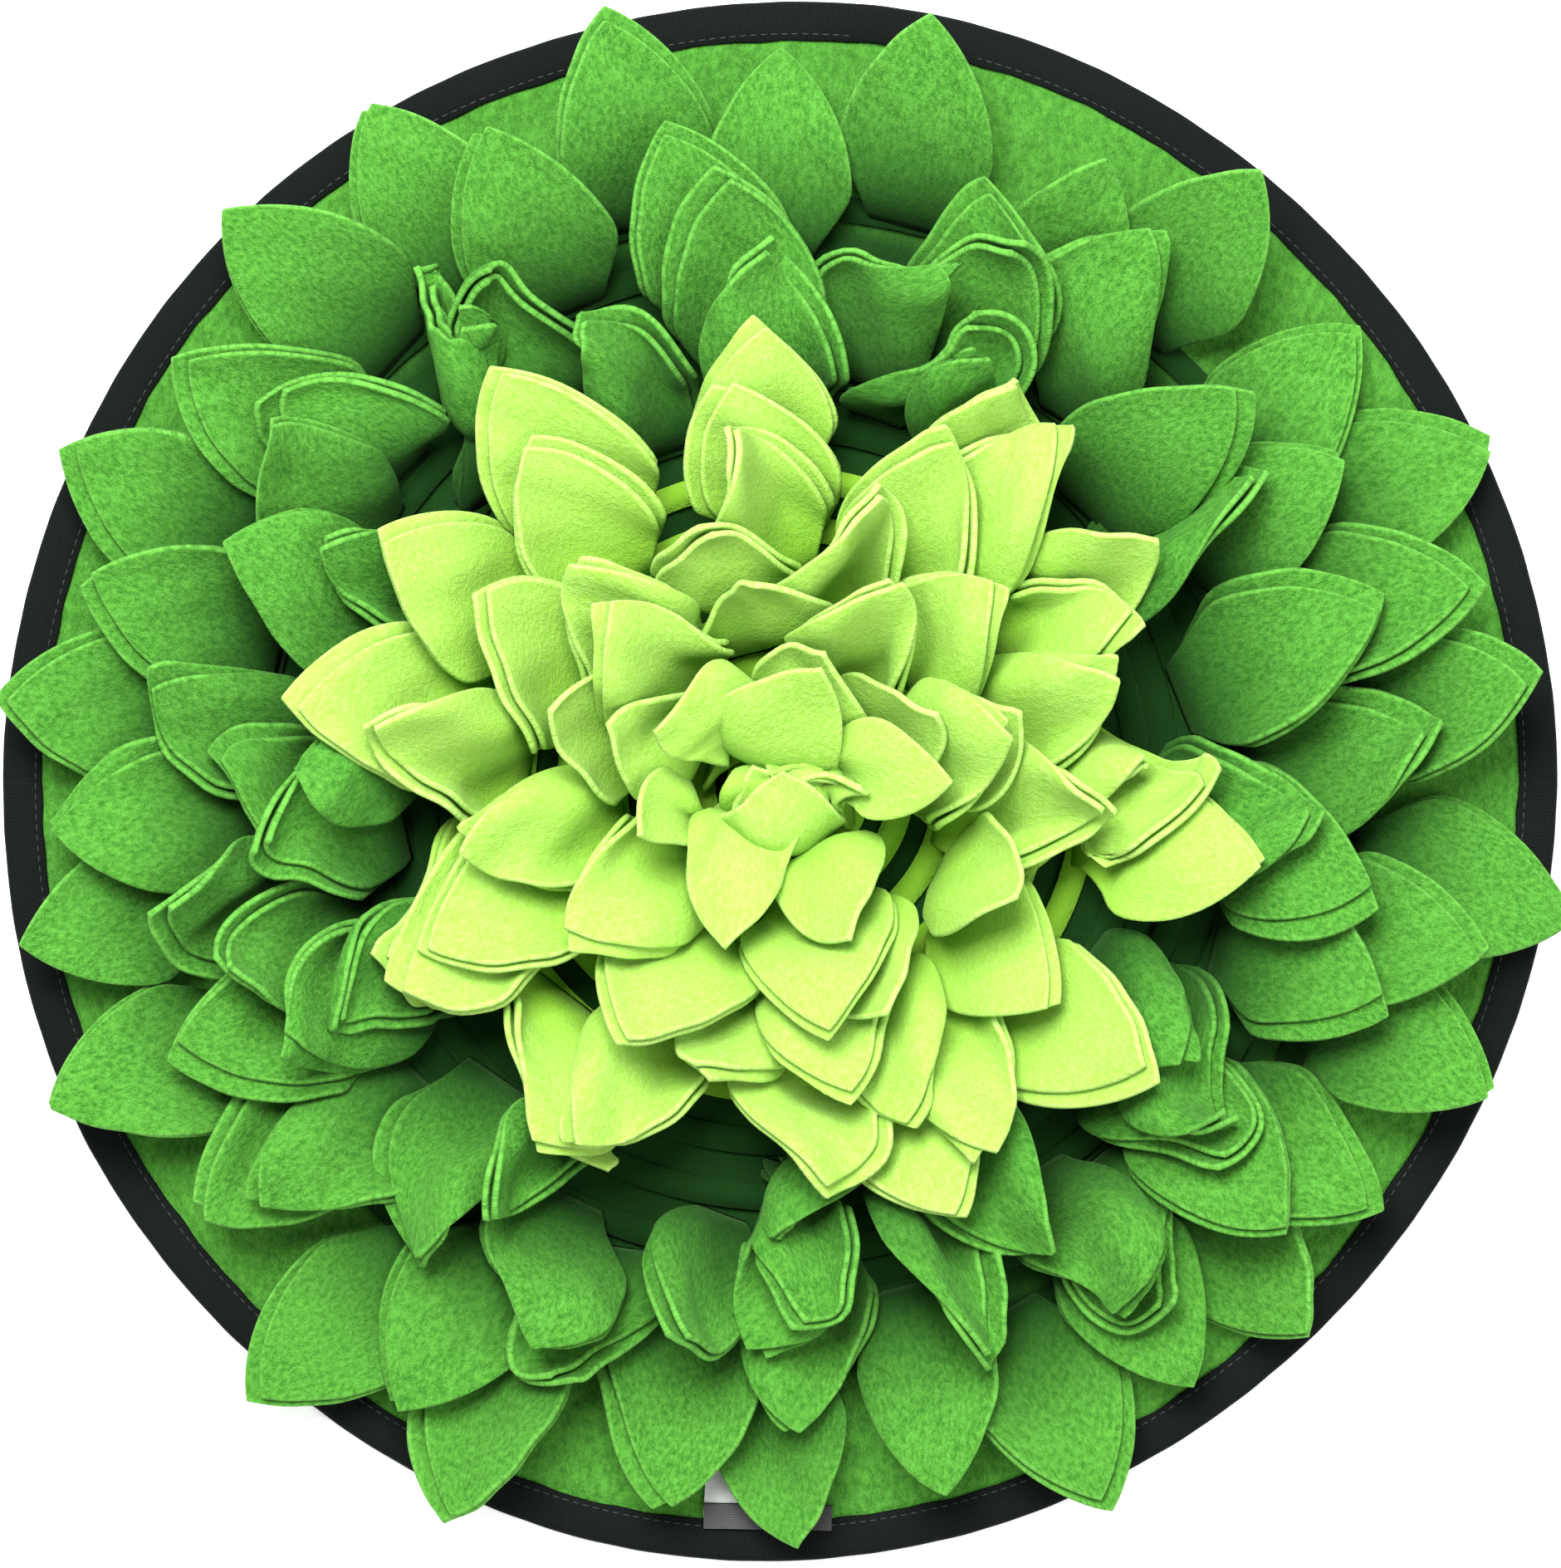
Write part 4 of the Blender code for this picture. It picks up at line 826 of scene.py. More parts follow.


# %% [markdown]
# ## Petals with a cut edge
# A smooth curve through the grid's points gives the sheet between them.  Scissors leave
# a square edge two millimetres thick.  Each petal is a closed tube flattened to a sheet:
# points across the upper face, round the cut edge, and back across the under face.
# Numbers on each point, from how close it is to the cut and how far up the petal it is,
# give a painted highlight along the cut and painted shade low on the petal, where the
# others shade it.


# %% Reading a sheet between its points
def curve_weights(places, count):
    """Weights of a smooth curve's points at places from 0 to 1 along it."""
    at = np.clip(places, 0.0, 1.0) * (count - 1)
    first = np.minimum(at.astype(int), count - 2)
    t = at - first
    weights = np.zeros((len(at), count + 2))
    shares = (-0.5 * t ** 3 + t ** 2 - 0.5 * t, 1.5 * t ** 3 - 2.5 * t ** 2 + 1.0,
              -1.5 * t ** 3 + 2.0 * t ** 2 + 0.5 * t, 0.5 * t ** 3 - 0.5 * t ** 2)
    for k, share in enumerate(shares):
        weights[np.arange(len(at)), first + k] += share
    kept = weights[:, 1:-1].copy()
    for end, next_in in ((0, 1), (-1, -2)):
        kept[:, end] += 2 * weights[:, end]
        kept[:, next_in] -= weights[:, end]
    return kept


def on_sheet(grid, across, run):
    """Smooth points of a pressed sheet at shares across it and runs up it."""
    up = curve_weights(run.ravel() / SHEET_LENGTH, LEVELS)
    aside = curve_weights((across.ravel() + 1.0) / 2.0, ACROSS)
    return np.einsum("nr,rcd,nc->nd", up, grid, aside, optimize=True).reshape(run.shape + (3,))


ACROSS_STEP, RUN_STEP = 0.02, 0.0007


def sheet_normals(grid, across, run):
    """Unit normals of a pressed sheet, on its under side."""
    wide = on_sheet(grid, across + ACROSS_STEP, run) - on_sheet(grid, across - ACROSS_STEP, run)
    long = on_sheet(grid, across, run + RUN_STEP) - on_sheet(grid, across, run - RUN_STEP)
    normal = np.cross(wide, long)
    return normal / np.linalg.norm(normal, axis=-1, keepdims=True)


# %% One fine petal
PETAL_ROWS, PETAL_COLUMNS = 26, 15
CLOSER_TO_TIP = 1.35            # power that puts a petal's rows closer together there
BLUNT = 0.0002                  # what the tip lacks of its point
CLOTH_THICK = 0.0020            # with the nap pressed flat
EDGE_ROUND = 0.0007             # how far in from the cut the face begins to round off
EDGE_HALF = 0.28                # half height of the cut edge, as a share of the thickness
EDGE_FADE = 0.0008              # over which the painted highlight at the cut fades into the face
# strength of the painted highlight at the cut
EDGE_HIGHLIGHT = 0.90
RIPPLE, RIPPLE_FROM = 0.0006, 0.03      # gentle waves of the cloth's surface
PAINTED_SHADE_RUN = 0.052                # below this run a petal gets painted shade, as the others shade it there
LONGER_MM, BESIDE_MM = (-1.5, 4.5), (1.0, 6.0)   # how the under petal shows past the upper


def ripple(side, run, phase):
    """Small waves over a petal's face, the same for both petals of a pair."""
    wide = np.sin(side * 190.0 + phase) * np.sin(run * 130.0 + 2.1 * phase)
    fine = 0.7 * np.sin(side * 310.0 - run * 240.0 + 3.7 * phase)
    return RIPPLE * (wide + fine) * smooth(run / RIPPLE_FROM)


def fine_petal(sheet, grid, layer, phase, longer, beside):
    """Loops of points round one petal, from root to tip, with their numbers."""
    row, length = sheet.row, petal_length(sheet.pair, 0) + longer * layer
    part = 1.0 - (1.0 - np.linspace(0.0, 1.0, PETAL_ROWS)) ** CLOSER_TO_TIP
    run = part * (length - BLUNT)
    half = arch_share(length, run) * opened_half(row, run)
    slope = np.abs(np.gradient(half, run))
    inset = np.minimum(EDGE_ROUND * np.hypot(1.0, slope), 0.45 * half)
    across = np.sin(np.linspace(-0.5, 0.5, PETAL_COLUMNS) * math.pi)
    face, rim = across[None, :] * (half - inset)[:, None], half[:, None]
    side = np.concatenate((face, rim, rim, face[:, ::-1], -rim, -rim), axis=1)
    upper = np.append(np.full(PETAL_COLUMNS, -0.5), (-EDGE_HALF, EDGE_HALF))
    lift = np.append(upper, -upper)
    to_cut = (half[:, None] - np.abs(side)) / np.hypot(1.0, slope)[:, None]
    to_cut = np.minimum(to_cut, (length - run)[:, None])
    run = np.repeat(run[:, None], side.shape[1], axis=1)
    way = 1.0 if sheet.pair.turn_deg > 0 else -1.0
    placed = side + layer * way * beside * run / length
    share = placed / opened_half(row, run) / SHEET_SPARE
    normal = sheet_normals(grid, share, run)
    offset = layer * PAIR_STEP + lift[None, :] * CLOTH_THICK + ripple(placed, run, phase)
    points = on_sheet(grid, share, run) + normal * offset[..., None]
    # painted highlight along the cut edge
    cut = EDGE_HIGHLIGHT * (1.0 - smooth(to_cut / EDGE_FADE))
    # painted shade, darkest at the root
    deep = 1.0 - smooth(run / PAINTED_SHADE_RUN)
    cloth = np.stack((side, run, np.full_like(run, 0.01 * phase + 0.1 * layer)), axis=-1)
    if row.stand < 1.0:
        points[0, :, 2] = STRIP_FOOT
    return points, cut, deep, cloth


# %% [markdown]
# ## Sewing the petals down
# The gathered feet of a ring are caught in one line of stitches.  The strip is the
# flattened fleece of those feet, and it is joined to its petals, as one piece.

# %% All the rings
STRIP_STEPS = 96
STRIP_REACH = 0.0022            # how far the strip goes to either side of the roots
SEWING_SEED = 5
ARCH_STEPS = 200
ARCH_AREA = PETAL_WIDTH * ARCH_HEIGHT * float(
    arch_share(ARCH_HEIGHT, np.linspace(0.0, ARCH_HEIGHT, ARCH_STEPS)).mean())


def sewn_strip(row, first):
    """A flat closed ring under a ring of petals."""
    inner, outer = row.root_radius - STRIP_REACH, row.root_radius + STRIP_REACH + PAIR_STEP
    section = ((inner, STRIP_FOOT), (outer, STRIP_FOOT), (outer, ROOT_Z), (inner, ROOT_Z))
    return (turned(STRIP_STEPS, lambda angle: section),
            loop_faces(STRIP_STEPS, len(section), first, ring=True))


def sewn_petals(name, rng, row=None):
    """All the petals of one name, with the strip of their ring, as one piece."""
    points, faces, edge_highlights, painted_shades, cloths = [], [], [], [], []
    petals, area = 0, 0.0
    for sheet, grid in zip(SHEETS, SHEET_GRIDS):
        if sheet.row.name != name:
            continue
        phase = rng.uniform(0.0, math.tau)
        longer, beside = rng.uniform(*LONGER_MM) * MM, rng.uniform(*BESIDE_MM) * MM
        for layer in range(sheet.pair.layers):
            loops, cut, deep, cloth = fine_petal(sheet, grid, layer, phase, longer, beside)
            first, count = len(points), loops.shape[1]
            last = first + (PETAL_ROWS - 1) * count
            points += loops.reshape(-1, 3).tolist()
            edge_highlights += cut.ravel().tolist()
            painted_shades += deep.ravel().tolist()
            cloths += cloth.reshape(-1, 3).tolist()
            faces += loop_faces(PETAL_ROWS, count, first)
            faces += [tuple(range(end, end + count)) for end in (first, last)]
            straight = petal_length(sheet.pair, 0) + longer * layer - ARCH_HEIGHT
            petals, area = petals + 1, area + PETAL_WIDTH * straight + ARCH_AREA
    if row:
        strip_points, strip_faces = sewn_strip(row, len(points))
        faces += strip_faces
        points += strip_points
        edge_highlights += [0.0] * len(strip_points)
        # the strip is painted in full shade, as it lies under its petals
        painted_shades += [1.0] * len(strip_points)
        cloths += strip_points
        area += math.tau * row.root_radius * (2 * STRIP_REACH + PAIR_STEP)
    green = name.startswith("green")
    piece = make_piece(name.replace("petals", "row"), points, faces,
                       GREEN_FLEECE if green else LIME_FLEECE,
                       {"painted_edge_highlight": edge_highlights, "deep": painted_shades}, cloths)
    dress(piece, name if row else None)


rng = random.Random(SEWING_SEED)
for row in ROWS:
    sewn_petals(row.name, rng, row)
for name in RUFFLES:
    sewn_petals(name, rng)

# %% [markdown]
# ## The disc
# The disc is one round cut of fleece.  Each seam that holds a ring of petals pulls a
# small groove into its underside, and its edge is squeezed thin inside the tape.  It is
# turned like a pot: one outline from the middle of the top to the middle of the
# underside, carried round.

# %% Base disc
DISC_STEPS = 240
TOP_STEPS = 60
GROOVE_DEPTH, GROOVE_HALF = 0.0006, 0.0024
GROOVE = ((1.0, 0.0), (0.4, 0.7), (0.0, 1.0), (-0.4, 0.7), (-1.0, 0.0))
RELIEF = 0.00018                # unevenness of the disc's own surface
SHADE_RADIUS, SHADE_FADE = 0.176, 0.020     # painted shade: the disc is darker under the petals


def seam_radius(row):
    """Where the stitches of a ring run, between the two petals of its pairs."""
    return row.root_radius + 0.5 * PAIR_STEP


def disc_outline(angle):
    """Radius and height from the middle of the top, out, and back to the middle below."""
    edge = rim_radius(angle) - TAPE_THICK - GAP
    mouth = rim_radius(angle) - TAPE_WIDTH
    low = TAPE_THICK + GAP
    high = low + PINCH_THICK
    top = [(part * (mouth - PINCH_RUN), BASE_THICK) for part in np.linspace(0.02, 1.0, TOP_STEPS)]
    top += [(mouth - 0.6 * PINCH_RUN, BASE_THICK - 0.0001),
            (mouth - 0.25 * PINCH_RUN, high + 0.0002), (mouth - 2 * GAP, high)]
    rim = [(edge, high), (edge, low), (mouth - 2 * GAP, low), (mouth - PINCH_RUN, 0.0)]
    below = [(seam_radius(row) + away * GROOVE_HALF, share * GROOVE_DEPTH)
             for row in ROWS for away, share in GROOVE]
    return top + rim + below


def relief(x, y):
    return RELIEF * (math.sin(410 * x + 3 * math.sin(260 * y)) * math.sin(380 * y + 2) - 1)


def disc():
    """The base disc as loops round the mat."""
    points = turned(DISC_STEPS, disc_outline)
    count = len(points) // DISC_STEPS
    points = [(x, y, z + relief(x, y) if k % count < TOP_STEPS else z)
              for k, (x, y, z) in enumerate(points)]
    faces = [face for face in loop_faces(DISC_STEPS, count, ring=True)
             if face[0] % count != count - 1]
    for middle in (0, count - 1):
        faces.append(tuple(step * count + middle for step in range(DISC_STEPS)))
    # painted shade under the petals, fading out towards the rim
    shade = [smooth((SHADE_RADIUS - math.hypot(x, y)) / SHADE_FADE) for x, y, _ in points]
    return make_piece("base_disc", points, faces, BASE_FLEECE,
                      {"painted_edge_highlight": [0.0] * len(points), "deep": shade}, points)


base_disc = disc()
dress(base_disc, "base")

# %% [markdown]
# ## The tape
# A ribbed tape is folded over the edge and sewn through all layers.  Its ribs run across
# it, a little over half a millimetre apart, and it puckers slightly where it goes round
# the curve.  The ribs are a pattern in the material, measured along the tape by the
# piece's own UV map.

# %% Ribbed tape material
RIB_PITCH = 0.00065
WAVES_A_UNIT = 20 / math.tau    # bands that a wave texture of scale 1 has in a metre


def rib_scale(pitch):
    """The scale of a wave texture that has one rib to each pitch."""
    return 1.0 / (pitch * WAVES_A_UNIT)


def ribs(tree, place, direction, scale, values):
    """Waves across one direction of a place."""
    return add_node(tree, "ShaderNodeTexWave", {"bands_direction": direction},
                    {"Vector": place, "Scale": scale, **values}).outputs["Fac"]


def ribbed_tape():
    made, tree = new_material("black_ribbed_tape", {
        "Roughness": 0.75, "Specular IOR Level": 0.06})
    place = add_node(tree, "ShaderNodeUVMap", {"uv_map": "along_and_across"}).outputs["UV"]
    wave = ribs(tree, place, "X", rib_scale(RIB_PITCH),
                {"Distortion": 0.6, "Detail": 1.0, "Detail Scale": 0.6})
    yarn = noise(tree, own_place(tree), 2600.0, 2.0, 0.6)
    # painted shade darkens the grooves between the ribs
    colour = mix_colour(tree, remap(tree, wave, 0.2, 1.0),
                        (0.0015, 0.0025, 0.0020, 1), (0.0070, 0.0100, 0.0085, 1))
    dusty = mix_colour(tree, remap(tree, yarn, 0.55, 0.8, 0.0, 0.15), colour,
                       (0.030, 0.038, 0.033, 1))
    finish_shader(tree, dusty, bump(tree, times(tree, yarn, 0.25, wave), 0.00012, 0.8))
    return made


RIBBED_TAPE = ribbed_tape()

# %% Folded tape round the edge
TAPE_STEPS, FOLD_STEPS = 480, 8
PUCKER = 0.00014                # how far the tape's edges wander
Wander = namedtuple("Wander", "times_round share phase")
WANDERS = (Wander(23, 1.0, 0.0), Wander(61, 0.8, 1.0), Wander(104, 0.6, 2.0))
FOLD_RUN = 0.006                # how far in the fold bends the tape
FOLD_ROUND = 0.0003             # of the fold's inside corners
ACROSS_MAP = 0.05               # the tape's section, opened out, in its UV map


def tape_outline(angle):
    """The folded tape's section as (radius, height), outer fold rounded."""
    pucker = PUCKER * sum(one.share * math.sin(one.times_round * angle + one.phase)
                          for one in WANDERS)
    edge = rim_radius(angle) + 0.4 * pucker
    mouth = edge - TAPE_WIDTH + pucker
    away = abs((math.degrees(angle) - LAP_DEG + 180.0) % 360.0 - 180.0)
    low, high = TAPE_THICK, TAPE_THICK + 2 * GAP + PINCH_THICK
    inside = edge - TAPE_THICK
    top = TAPE_TOP + LAP_RISE * float(smooth(1.0 - away / LAP_SPREAD_DEG))
    half = top / 2
    section = [(mouth, 0.00005), (edge - FOLD_RUN, 0.0), (edge - half, 0.0)]
    for k in range(1, FOLD_STEPS):
        turn = -math.pi / 2 + math.pi * k / FOLD_STEPS
        section.append((edge - half + half * math.cos(turn), half + half * math.sin(turn)))
    section += [(edge - half, top), (edge - FOLD_RUN, top + 0.3 * pucker),
                (mouth + 0.0004, top - 0.0001), (mouth, top - 0.0004), (mouth, high),
                (inside - FOLD_ROUND, high), (inside, high - FOLD_ROUND),
                (inside, low + FOLD_ROUND), (inside - FOLD_ROUND, low), (mouth, low)]
    return section


def tape():
    """The folded tape, with a UV map along and across it for its ribs."""
    points = turned(TAPE_STEPS, tape_outline)
    count = len(points) // TAPE_STEPS
    piece = make_piece("edge_tape", points, loop_faces(TAPE_STEPS, count, ring=True), RIBBED_TAPE)
    layer = piece.data.uv_layers.new(name="along_and_across")
    for polygon in piece.data.polygons:
        corners = [(i, *divmod(piece.data.loops[i].vertex_index, count))
                   for i in polygon.loop_indices]
        at_end = any(step == TAPE_STEPS - 1 for _, step, _ in corners)
        for i, step, place in corners:
            step = TAPE_STEPS if at_end and step == 0 else step
            layer.data[i].uv = (step / TAPE_STEPS * math.tau * MAT_RADIUS,
                                place / count * ACROSS_MAP)
    return piece


edge_tape = tape()
dress(edge_tape, "binding")

# %% [markdown]
# ## Stitches
# A lockstitch is a row of short threads, each sunk a little at its ends.  That is a
# thing repeated along a path, so Geometry Nodes make it: the path is resampled at the
# stitch length, one small thread is put on each point and turned along the path, and
# the result is realised and given its material.  Both threads share one node group for
# the twist of their plies.

# %% Two threads
TWIST_SCALE = 5200.0
TWIST_SHADE = 0.6               # painted shade: how dark a thread is between its plies


def thread_group():
    """Colour and normal of a twisted thread, with painted shade between its plies."""
    group, enter, leave = node_group(
        "thread_twist", (("Colour", "Color", (0.5, 0.5, 0.5, 1.0)),
                         ("Shade", "Color", (0.3, 0.3, 0.3, 1.0))), COLOUR_AND_NORMAL)
    ply = noise(group, own_place(group), TWIST_SCALE, 1.0)
    twisted = mix_colour(group, remap(group, ply, 0.35, 0.65),
                         enter.outputs["Shade"], enter.outputs["Colour"])
    group.links.new(twisted, leave.inputs["Colour"])
    group.links.new(bump(group, ply, 0.00006, 0.8), leave.inputs["Normal"])
    return group


THREAD_TWIST = thread_group()


def thread(name, colour):
    made, tree = new_material(name, {"Roughness": 0.55})
    shade = tuple(TWIST_SHADE * c for c in colour[:3]) + (1.0,)
    place_group(tree, THREAD_TWIST, {"Colour": colour, "Shade": shade})
    return made


BLACK_THREAD = thread("black_thread", (0.014, 0.017, 0.015, 1.0))
GREEN_THREAD = thread("green_thread", (0.060, 0.260, 0.030, 1.0))
print("threads:", BLACK_THREAD.name, GREEN_THREAD.name)

# %% The stitch tree
THREAD_RADIUS = 0.00022


def stitch_tree():
    """Geometry nodes: path in, a stitch on each pitch of it out."""
    tree, enter, leave = node_group(
        "row_of_stitches",
        (("Path", "Geometry", None), ("Pitch", "Float", 0.003),
         ("Radius", "Float", THREAD_RADIUS), ("Fill", "Float", 0.8),
         ("Thread", "Material", None)), (("Stitches", "Geometry"),), "GeometryNodeTree")
    given = enter.outputs
    curve = add_node(tree, "GeometryNodeMeshToCurve", {}, {"Mesh": given["Path"]})
    points = add_node(tree, "GeometryNodeResampleCurve", {"mode": "LENGTH"},
                      {"Curve": curve.outputs["Curve"], "Length": given["Pitch"]})
    along = add_node(tree, "GeometryNodeInputTangent").outputs["Tangent"]
    turn = add_node(tree, "FunctionNodeAlignEulerToVector", {"axis": "Z"}, {"Vector": along})
    bead = add_node(tree, "GeometryNodeMeshUVSphere", {},
                    {"Segments": 6, "Rings": 4, "Radius": 1.0})
    half = times(tree, given["Pitch"], 0.5)
    size = add_node(tree, "ShaderNodeCombineXYZ", {},
                    {"X": given["Radius"], "Y": given["Radius"],
                     "Z": times(tree, half, given["Fill"])})
    placed = add_node(tree, "GeometryNodeInstanceOnPoints", {},
                      {"Points": points.outputs["Curve"], "Instance": bead.outputs["Mesh"],
                       "Rotation": turn.outputs["Rotation"], "Scale": size.outputs["Vector"]})
    real = add_node(tree, "GeometryNodeRealizeInstances", {},
                    {"Geometry": placed.outputs["Instances"]})
    dyed = add_node(tree, "GeometryNodeSetMaterial", {},
                    {"Geometry": real.outputs["Geometry"], "Material": given["Thread"]})
    tree.links.new(dyed.outputs["Geometry"], leave.inputs["Stitches"])
    return tree, {item.name: item.identifier for item in tree.interface.items_tree}


STITCHES, STITCH_INPUTS = stitch_tree()


def sew(name, paths, material, pitch):
    """Turn closed paths of points into a mesh of stitches."""
    points, edges = [], []
    for path in paths:
        first = len(points)
        points += path
        edges += [(first + k, first + (k + 1) % len(path)) for k in range(len(path))]
    mesh = bpy.data.meshes.new(name + "_path")
    mesh.from_pydata(points, edges, [])
    seam = bpy.data.objects.new(name, mesh)
    bpy.context.scene.collection.objects.link(seam)
    nodes = seam.modifiers.new("stitches", "NODES")
    nodes.node_group = STITCHES
    nodes[STITCH_INPUTS["Pitch"]] = pitch
    nodes[STITCH_INPUTS["Thread"]] = material
    graph = bpy.context.evaluated_depsgraph_get()
    made = bpy.data.meshes.new_from_object(seam.evaluated_get(graph))
    seam.modifiers.remove(nodes)
    seam.data = made
    made.shade_smooth()
    dress(seam)
    return seam


# %% Seams of the tape and of the petal rings
SEAM_INSET = 0.0018             # from the tape's inner edge to its stitches
SEAM_STEPS = 720
TAPE_PITCH, RING_PITCH = 0.0030, 0.0032
SEAM_OVER, SEAM_UNDER = TAPE_TOP + 0.00002, 0.00022
SEAM_IN_GROOVE = 0.00042


def round_path(radius_at, z):
    """Points round the mat at a radius that may change with the angle."""
    return [(radius_at(a) * math.cos(a), radius_at(a) * math.sin(a), z)
            for a in np.linspace(0.0, math.tau, SEAM_STEPS, endpoint=False).tolist()]


def tape_seam(angle):
    return float(rim_radius(angle)) - TAPE_WIDTH + SEAM_INSET


tape_stitches = sew("tape_stitches", [round_path(tape_seam, z) for z in (SEAM_OVER, SEAM_UNDER)],
                    BLACK_THREAD, TAPE_PITCH)
sew("ring_stitches", [round_path(lambda angle: seam_radius(row), SEAM_IN_GROOVE) for row in ROWS],
    GREEN_THREAD, RING_PITCH)

# %% [markdown]
# ## The two tabs
# A small woven tab is folded in two and caught in the tape's seam at the lower edge, and
# a pale satin tab comes out from under it.  Both are left blank.  Their close weave is
# one node group, which each satin has with its own colours and pitch.

# %% Satin weave
def satin_group():
    """Colour and normal of a close weave whose threads run across a tab, with painted shade
    between them.
    """
    group, enter, leave = node_group(
        "satin_weave", (("Colour", "Color", (0.5, 0.5, 0.5, 1.0)),
                        ("Shade", "Color", (0.3, 0.3, 0.3, 1.0)),
                        ("Rib scale", "Float", 900.0)), COLOUR_AND_NORMAL)
    given, place = enter.outputs, own_place(group)
    wave = ribs(group, place, "Y", given["Rib scale"], {"Distortion": 1.2, "Detail": 2.0})
    soft = remap(group, noise(group, place, 240.0), 0.35, 0.7, 0.0, 0.25)
    # painted shade in the grooves between the threads
    woven = mix_colour(group, remap(group, wave, 0.1, 0.9), given["Shade"], given["Colour"])
    group.links.new(mix_colour(group, soft, woven, given["Shade"]), leave.inputs["Colour"])
    group.links.new(bump(group, wave, 0.00005, 0.7), leave.inputs["Normal"])
    return group


SATIN_WEAVE = satin_group()


def satin(name, colour, shade, roughness, pitch):
    made, tree = new_material(name, {"Roughness": roughness, "Sheen Weight": 0.15})
    place_group(tree, SATIN_WEAVE, {"Colour": colour, "Shade": shade,
                                    "Rib scale": rib_scale(pitch)})
    return made


BLACK_SATIN = satin("woven_tab", (0.014, 0.014, 0.014, 1), (0.006, 0.006, 0.006, 1), 0.5, 0.00035)
PALE_SATIN = satin("pale_satin", (0.66, 0.67, 0.66, 1), (0.50, 0.51, 0.50, 1), 0.4, 0.0003)
print("satins:", BLACK_SATIN.name, PALE_SATIN.name)

# %% Tabs
WOVEN_WIDTH, WOVEN_LENGTH, WOVEN_THICK = 0.0370, 0.0075, 0.0010
WOVEN_DEG = 269.0
WOVEN_PROUD = 0.0020            # how far the tab reaches over the tape's inner edge
WOVEN_BEND, WOVEN_HOLLOW = 0.0006, 0.0011       # the fold, outside and inside
WOVEN_LEAF = 0.42               # thickness of one leaf, as a share of the tab's
WOVEN_BOW = 0.0001
CARE_WIDTH, CARE_LENGTH, CARE_THICK = 0.0195, 0.0240, 0.0006
CARE_DEG = 266.6
CARE_ROOM = 4 * GAP
CARE_WAVE = 0.0002
TAB_COLUMNS = 24
SHARP_DEG = 40


def tab(name, material, angle_deg, outer_radius, width, section):
    """Sweep a section of (inward run, height) across a tab's width."""
    angle = math.radians(angle_deg)
    out = Vector((math.cos(angle), math.sin(angle), 0.0))
    side = Vector((-out.y, out.x, 0.0))
    points = []
    for k in range(TAB_COLUMNS + 1):
        across = (k / TAB_COLUMNS - 0.5) * width
        for inward, z in section(k / TAB_COLUMNS):
            points.append(tuple(out * (outer_radius - inward) + side * across + Vector((0, 0, z))))
    count = len(points) // (TAB_COLUMNS + 1)
    faces = loop_faces(TAB_COLUMNS + 1, count)
    faces += [tuple(range(end, end + count)) for end in (0, TAB_COLUMNS * count)]
    piece = make_piece(name, points, faces, material)
    piece.data.set_sharp_from_angle(angle=math.radians(SHARP_DEG))
    return piece


def woven_section(part):
    """A band folded in two: upper leaf, fold towards the petals, under leaf."""
    foot, leaf = TAPE_TOP + GAP, WOVEN_LEAF * WOVEN_THICK
    top = foot + WOVEN_THICK
    outer = np.linspace(0.0, WOVEN_LENGTH - WOVEN_BEND, 8)
    inner = np.linspace(0.0, WOVEN_LENGTH - WOVEN_HOLLOW, 5)
    bow = WOVEN_BOW * math.sin(math.pi * part)
    upper = [(run, top + bow) for run in outer]
    fold = [(WOVEN_LENGTH - 0.0002, top - 0.0002), (WOVEN_LENGTH, top - 0.0005),
            (WOVEN_LENGTH - 0.0002, foot + 0.0002)]
    under = [(run, foot) for run in outer[::-1]]
    inner_low = [(run, foot + leaf) for run in inner]
    inner_high = [(run, top - leaf) for run in inner[::-1]]
    return upper + fold + under + inner_low + inner_high


def care_section(part):
    """A single thin leaf that lies on the disc."""
    foot = BASE_THICK + GAP
    runs = np.linspace(0.0, CARE_LENGTH, 14)
    wave = [CARE_WAVE * math.sin(run * 420.0 + 2.0 * part) ** 2 for run in runs]
    upper = [(run, foot + 0.8 * CARE_THICK + w) for run, w in zip(runs, wave)]
    under = [(run, foot + 0.4 * w) for run, w in zip(runs[::-1], wave[::-1])]
    return upper + under


woven_edge = float(rim_radius(math.radians(WOVEN_DEG))) - TAPE_WIDTH + WOVEN_PROUD
care_edge = float(rim_radius(math.radians(CARE_DEG))) - TAPE_WIDTH - CARE_ROOM
woven_tab = tab("woven_tab", BLACK_SATIN, WOVEN_DEG, woven_edge, WOVEN_WIDTH, woven_section)
care_tab = tab("care_tab", PALE_SATIN, CARE_DEG, care_edge, CARE_WIDTH, care_section)
dress(woven_tab, "woven_label")
dress(care_tab, "care_label")

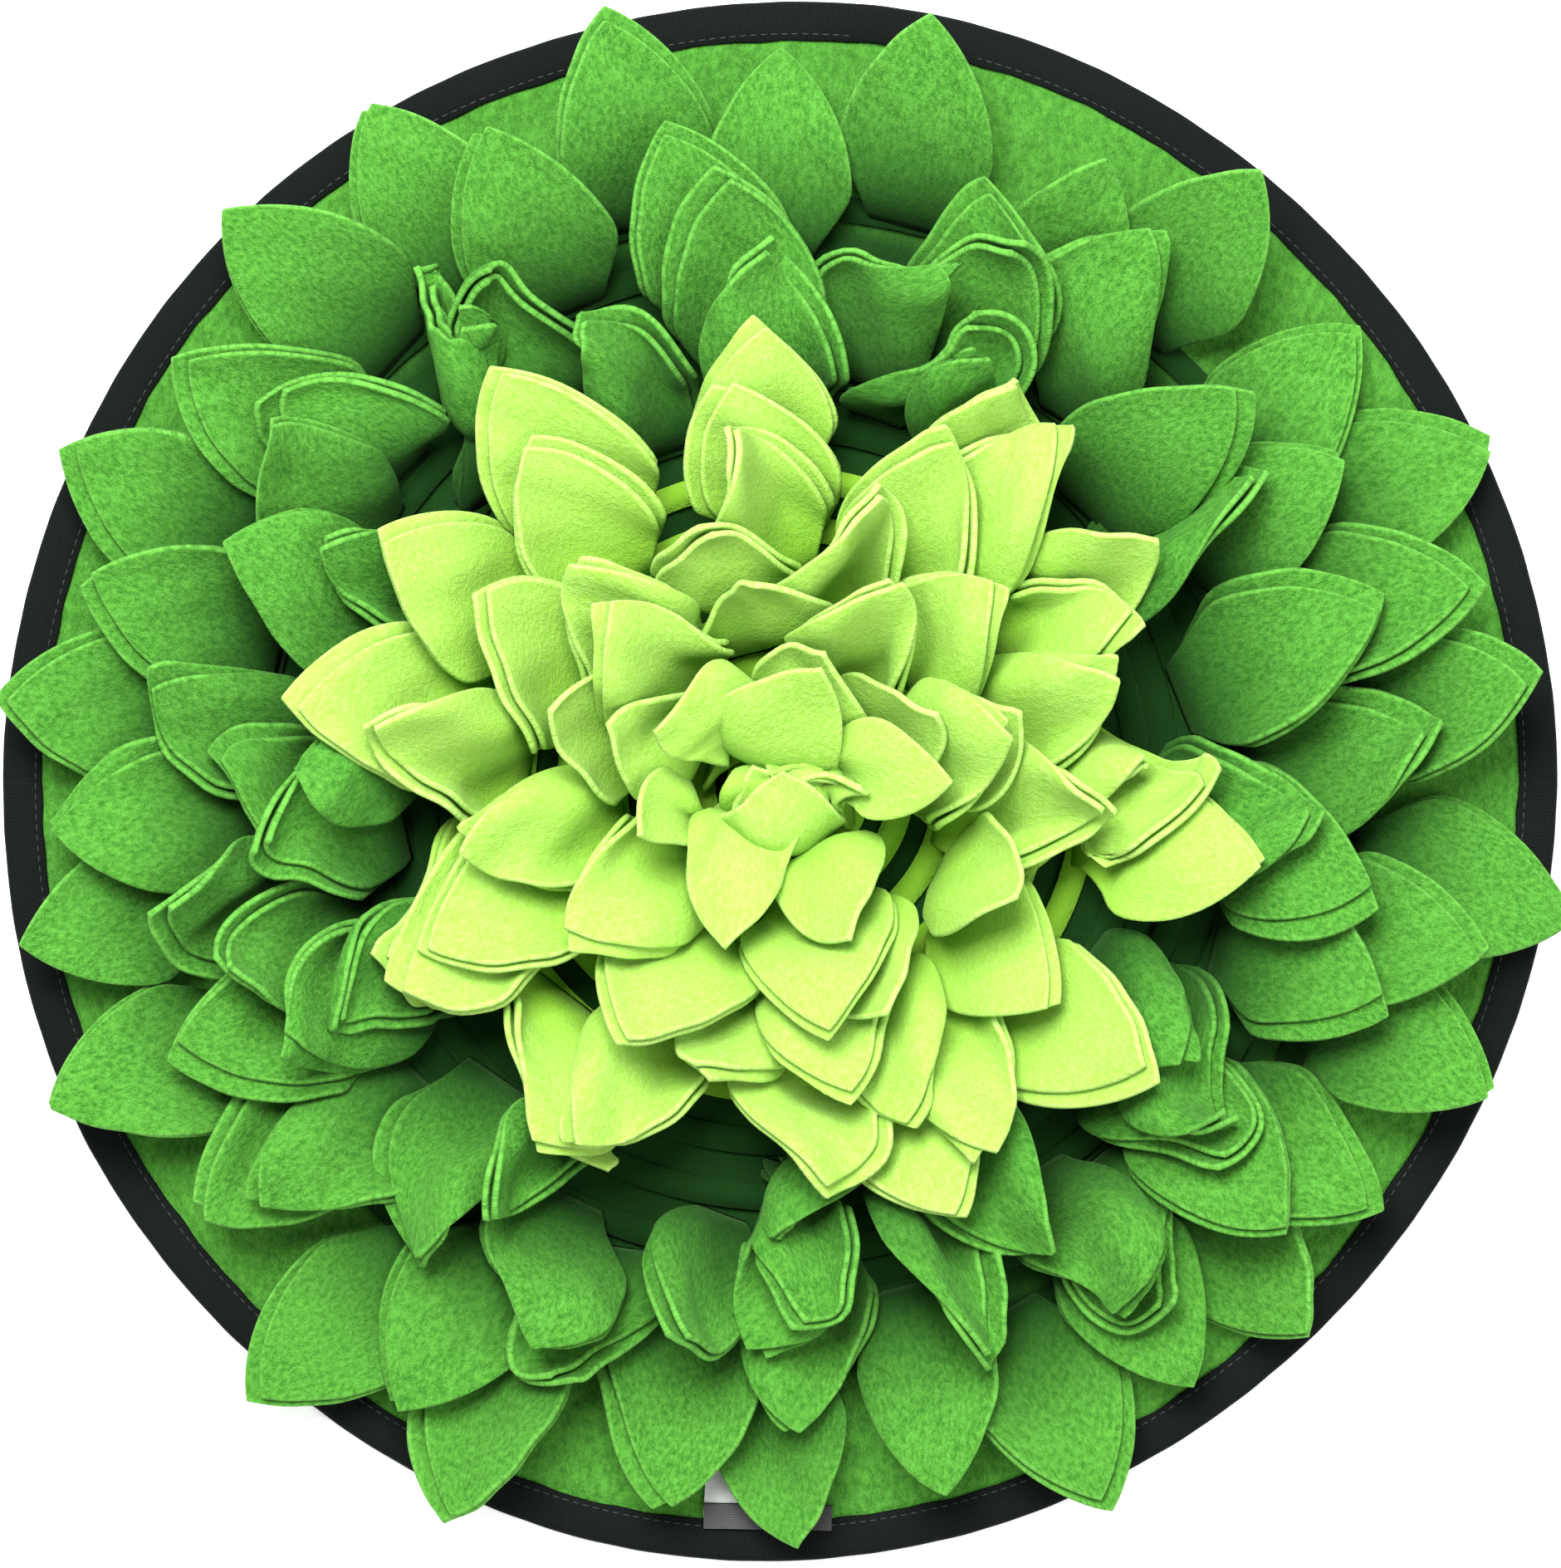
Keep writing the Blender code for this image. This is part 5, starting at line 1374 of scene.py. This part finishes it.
# %% [markdown]
# ## The set
# The mat lies on a plain pale floor, seen from straight above.  The light is soft and
# comes from above and a little to one side, so the petals shade each other and the
# pockets between them are dark.

# %% Floor, light and camera
PHOTO_WIDTH = 1880
PIXEL = 0.0002408               # metres of mat for each pixel of the photograph
CAMERA_HEIGHT, CAMERA_Y = 1.9, 0.0002
FLOOR_HALF, FLOOR_Z = 3, -0.0002
DAYLIGHT = 0.62
WHITE = (1.0, 1.0, 1.0, 1.0)
Light = namedtuple("Light", "name place size power")
LIGHTS = (
    Light("soft_top", (-0.25, 0.75, 1.6), 0.9, 74.0),
    Light("soft_fill", (0.9, -0.5, 1.3), 1.0, 12.0),
)


def add_object(name, data, place=(0.0, 0.0, 0.0)):
    made = bpy.data.objects.new(name, data)
    made.location = place
    bpy.context.scene.collection.objects.link(made)
    return made


def floor():
    mesh = bpy.data.meshes.new("floor")
    mesh.from_pydata([(FLOOR_HALF * x, FLOOR_HALF * y, FLOOR_Z)
                      for x, y in ((-1, -1), (1, -1), (1, 1), (-1, 1))], [], [(0, 1, 2, 3)])
    mesh.materials.append(new_material("pale_floor", {
        "Base Color": (0.90, 0.90, 0.90, 1.0), "Roughness": 0.9, "Emission Color": WHITE,
        "Emission Strength": 0.3})[0])
    add_object("floor", mesh)


floor()
for light in LIGHTS:
    lamp = bpy.data.lights.new(light.name, "AREA")
    lamp.shape, lamp.size, lamp.energy = "SQUARE", light.size, light.power
    aim = (-Vector(light.place)).to_track_quat("-Z", "Y").to_euler()
    add_object(light.name, lamp, light.place).rotation_euler = aim
world = bpy.data.worlds.new("studio")
world.use_nodes = True
sky = world.node_tree.nodes["Background"].inputs
sky["Color"].default_value, sky["Strength"].default_value = WHITE, DAYLIGHT
bpy.context.scene.world = world

camera = bpy.data.cameras.new("above")
camera.sensor_fit = "HORIZONTAL"
camera.sensor_width = 36.0
camera.lens = camera.sensor_width * CAMERA_HEIGHT / (PHOTO_WIDTH * PIXEL)
bpy.context.scene.camera = add_object("above", camera, (0.0, CAMERA_Y, CAMERA_HEIGHT))
bpy.context.scene.view_settings.view_transform = "Standard"
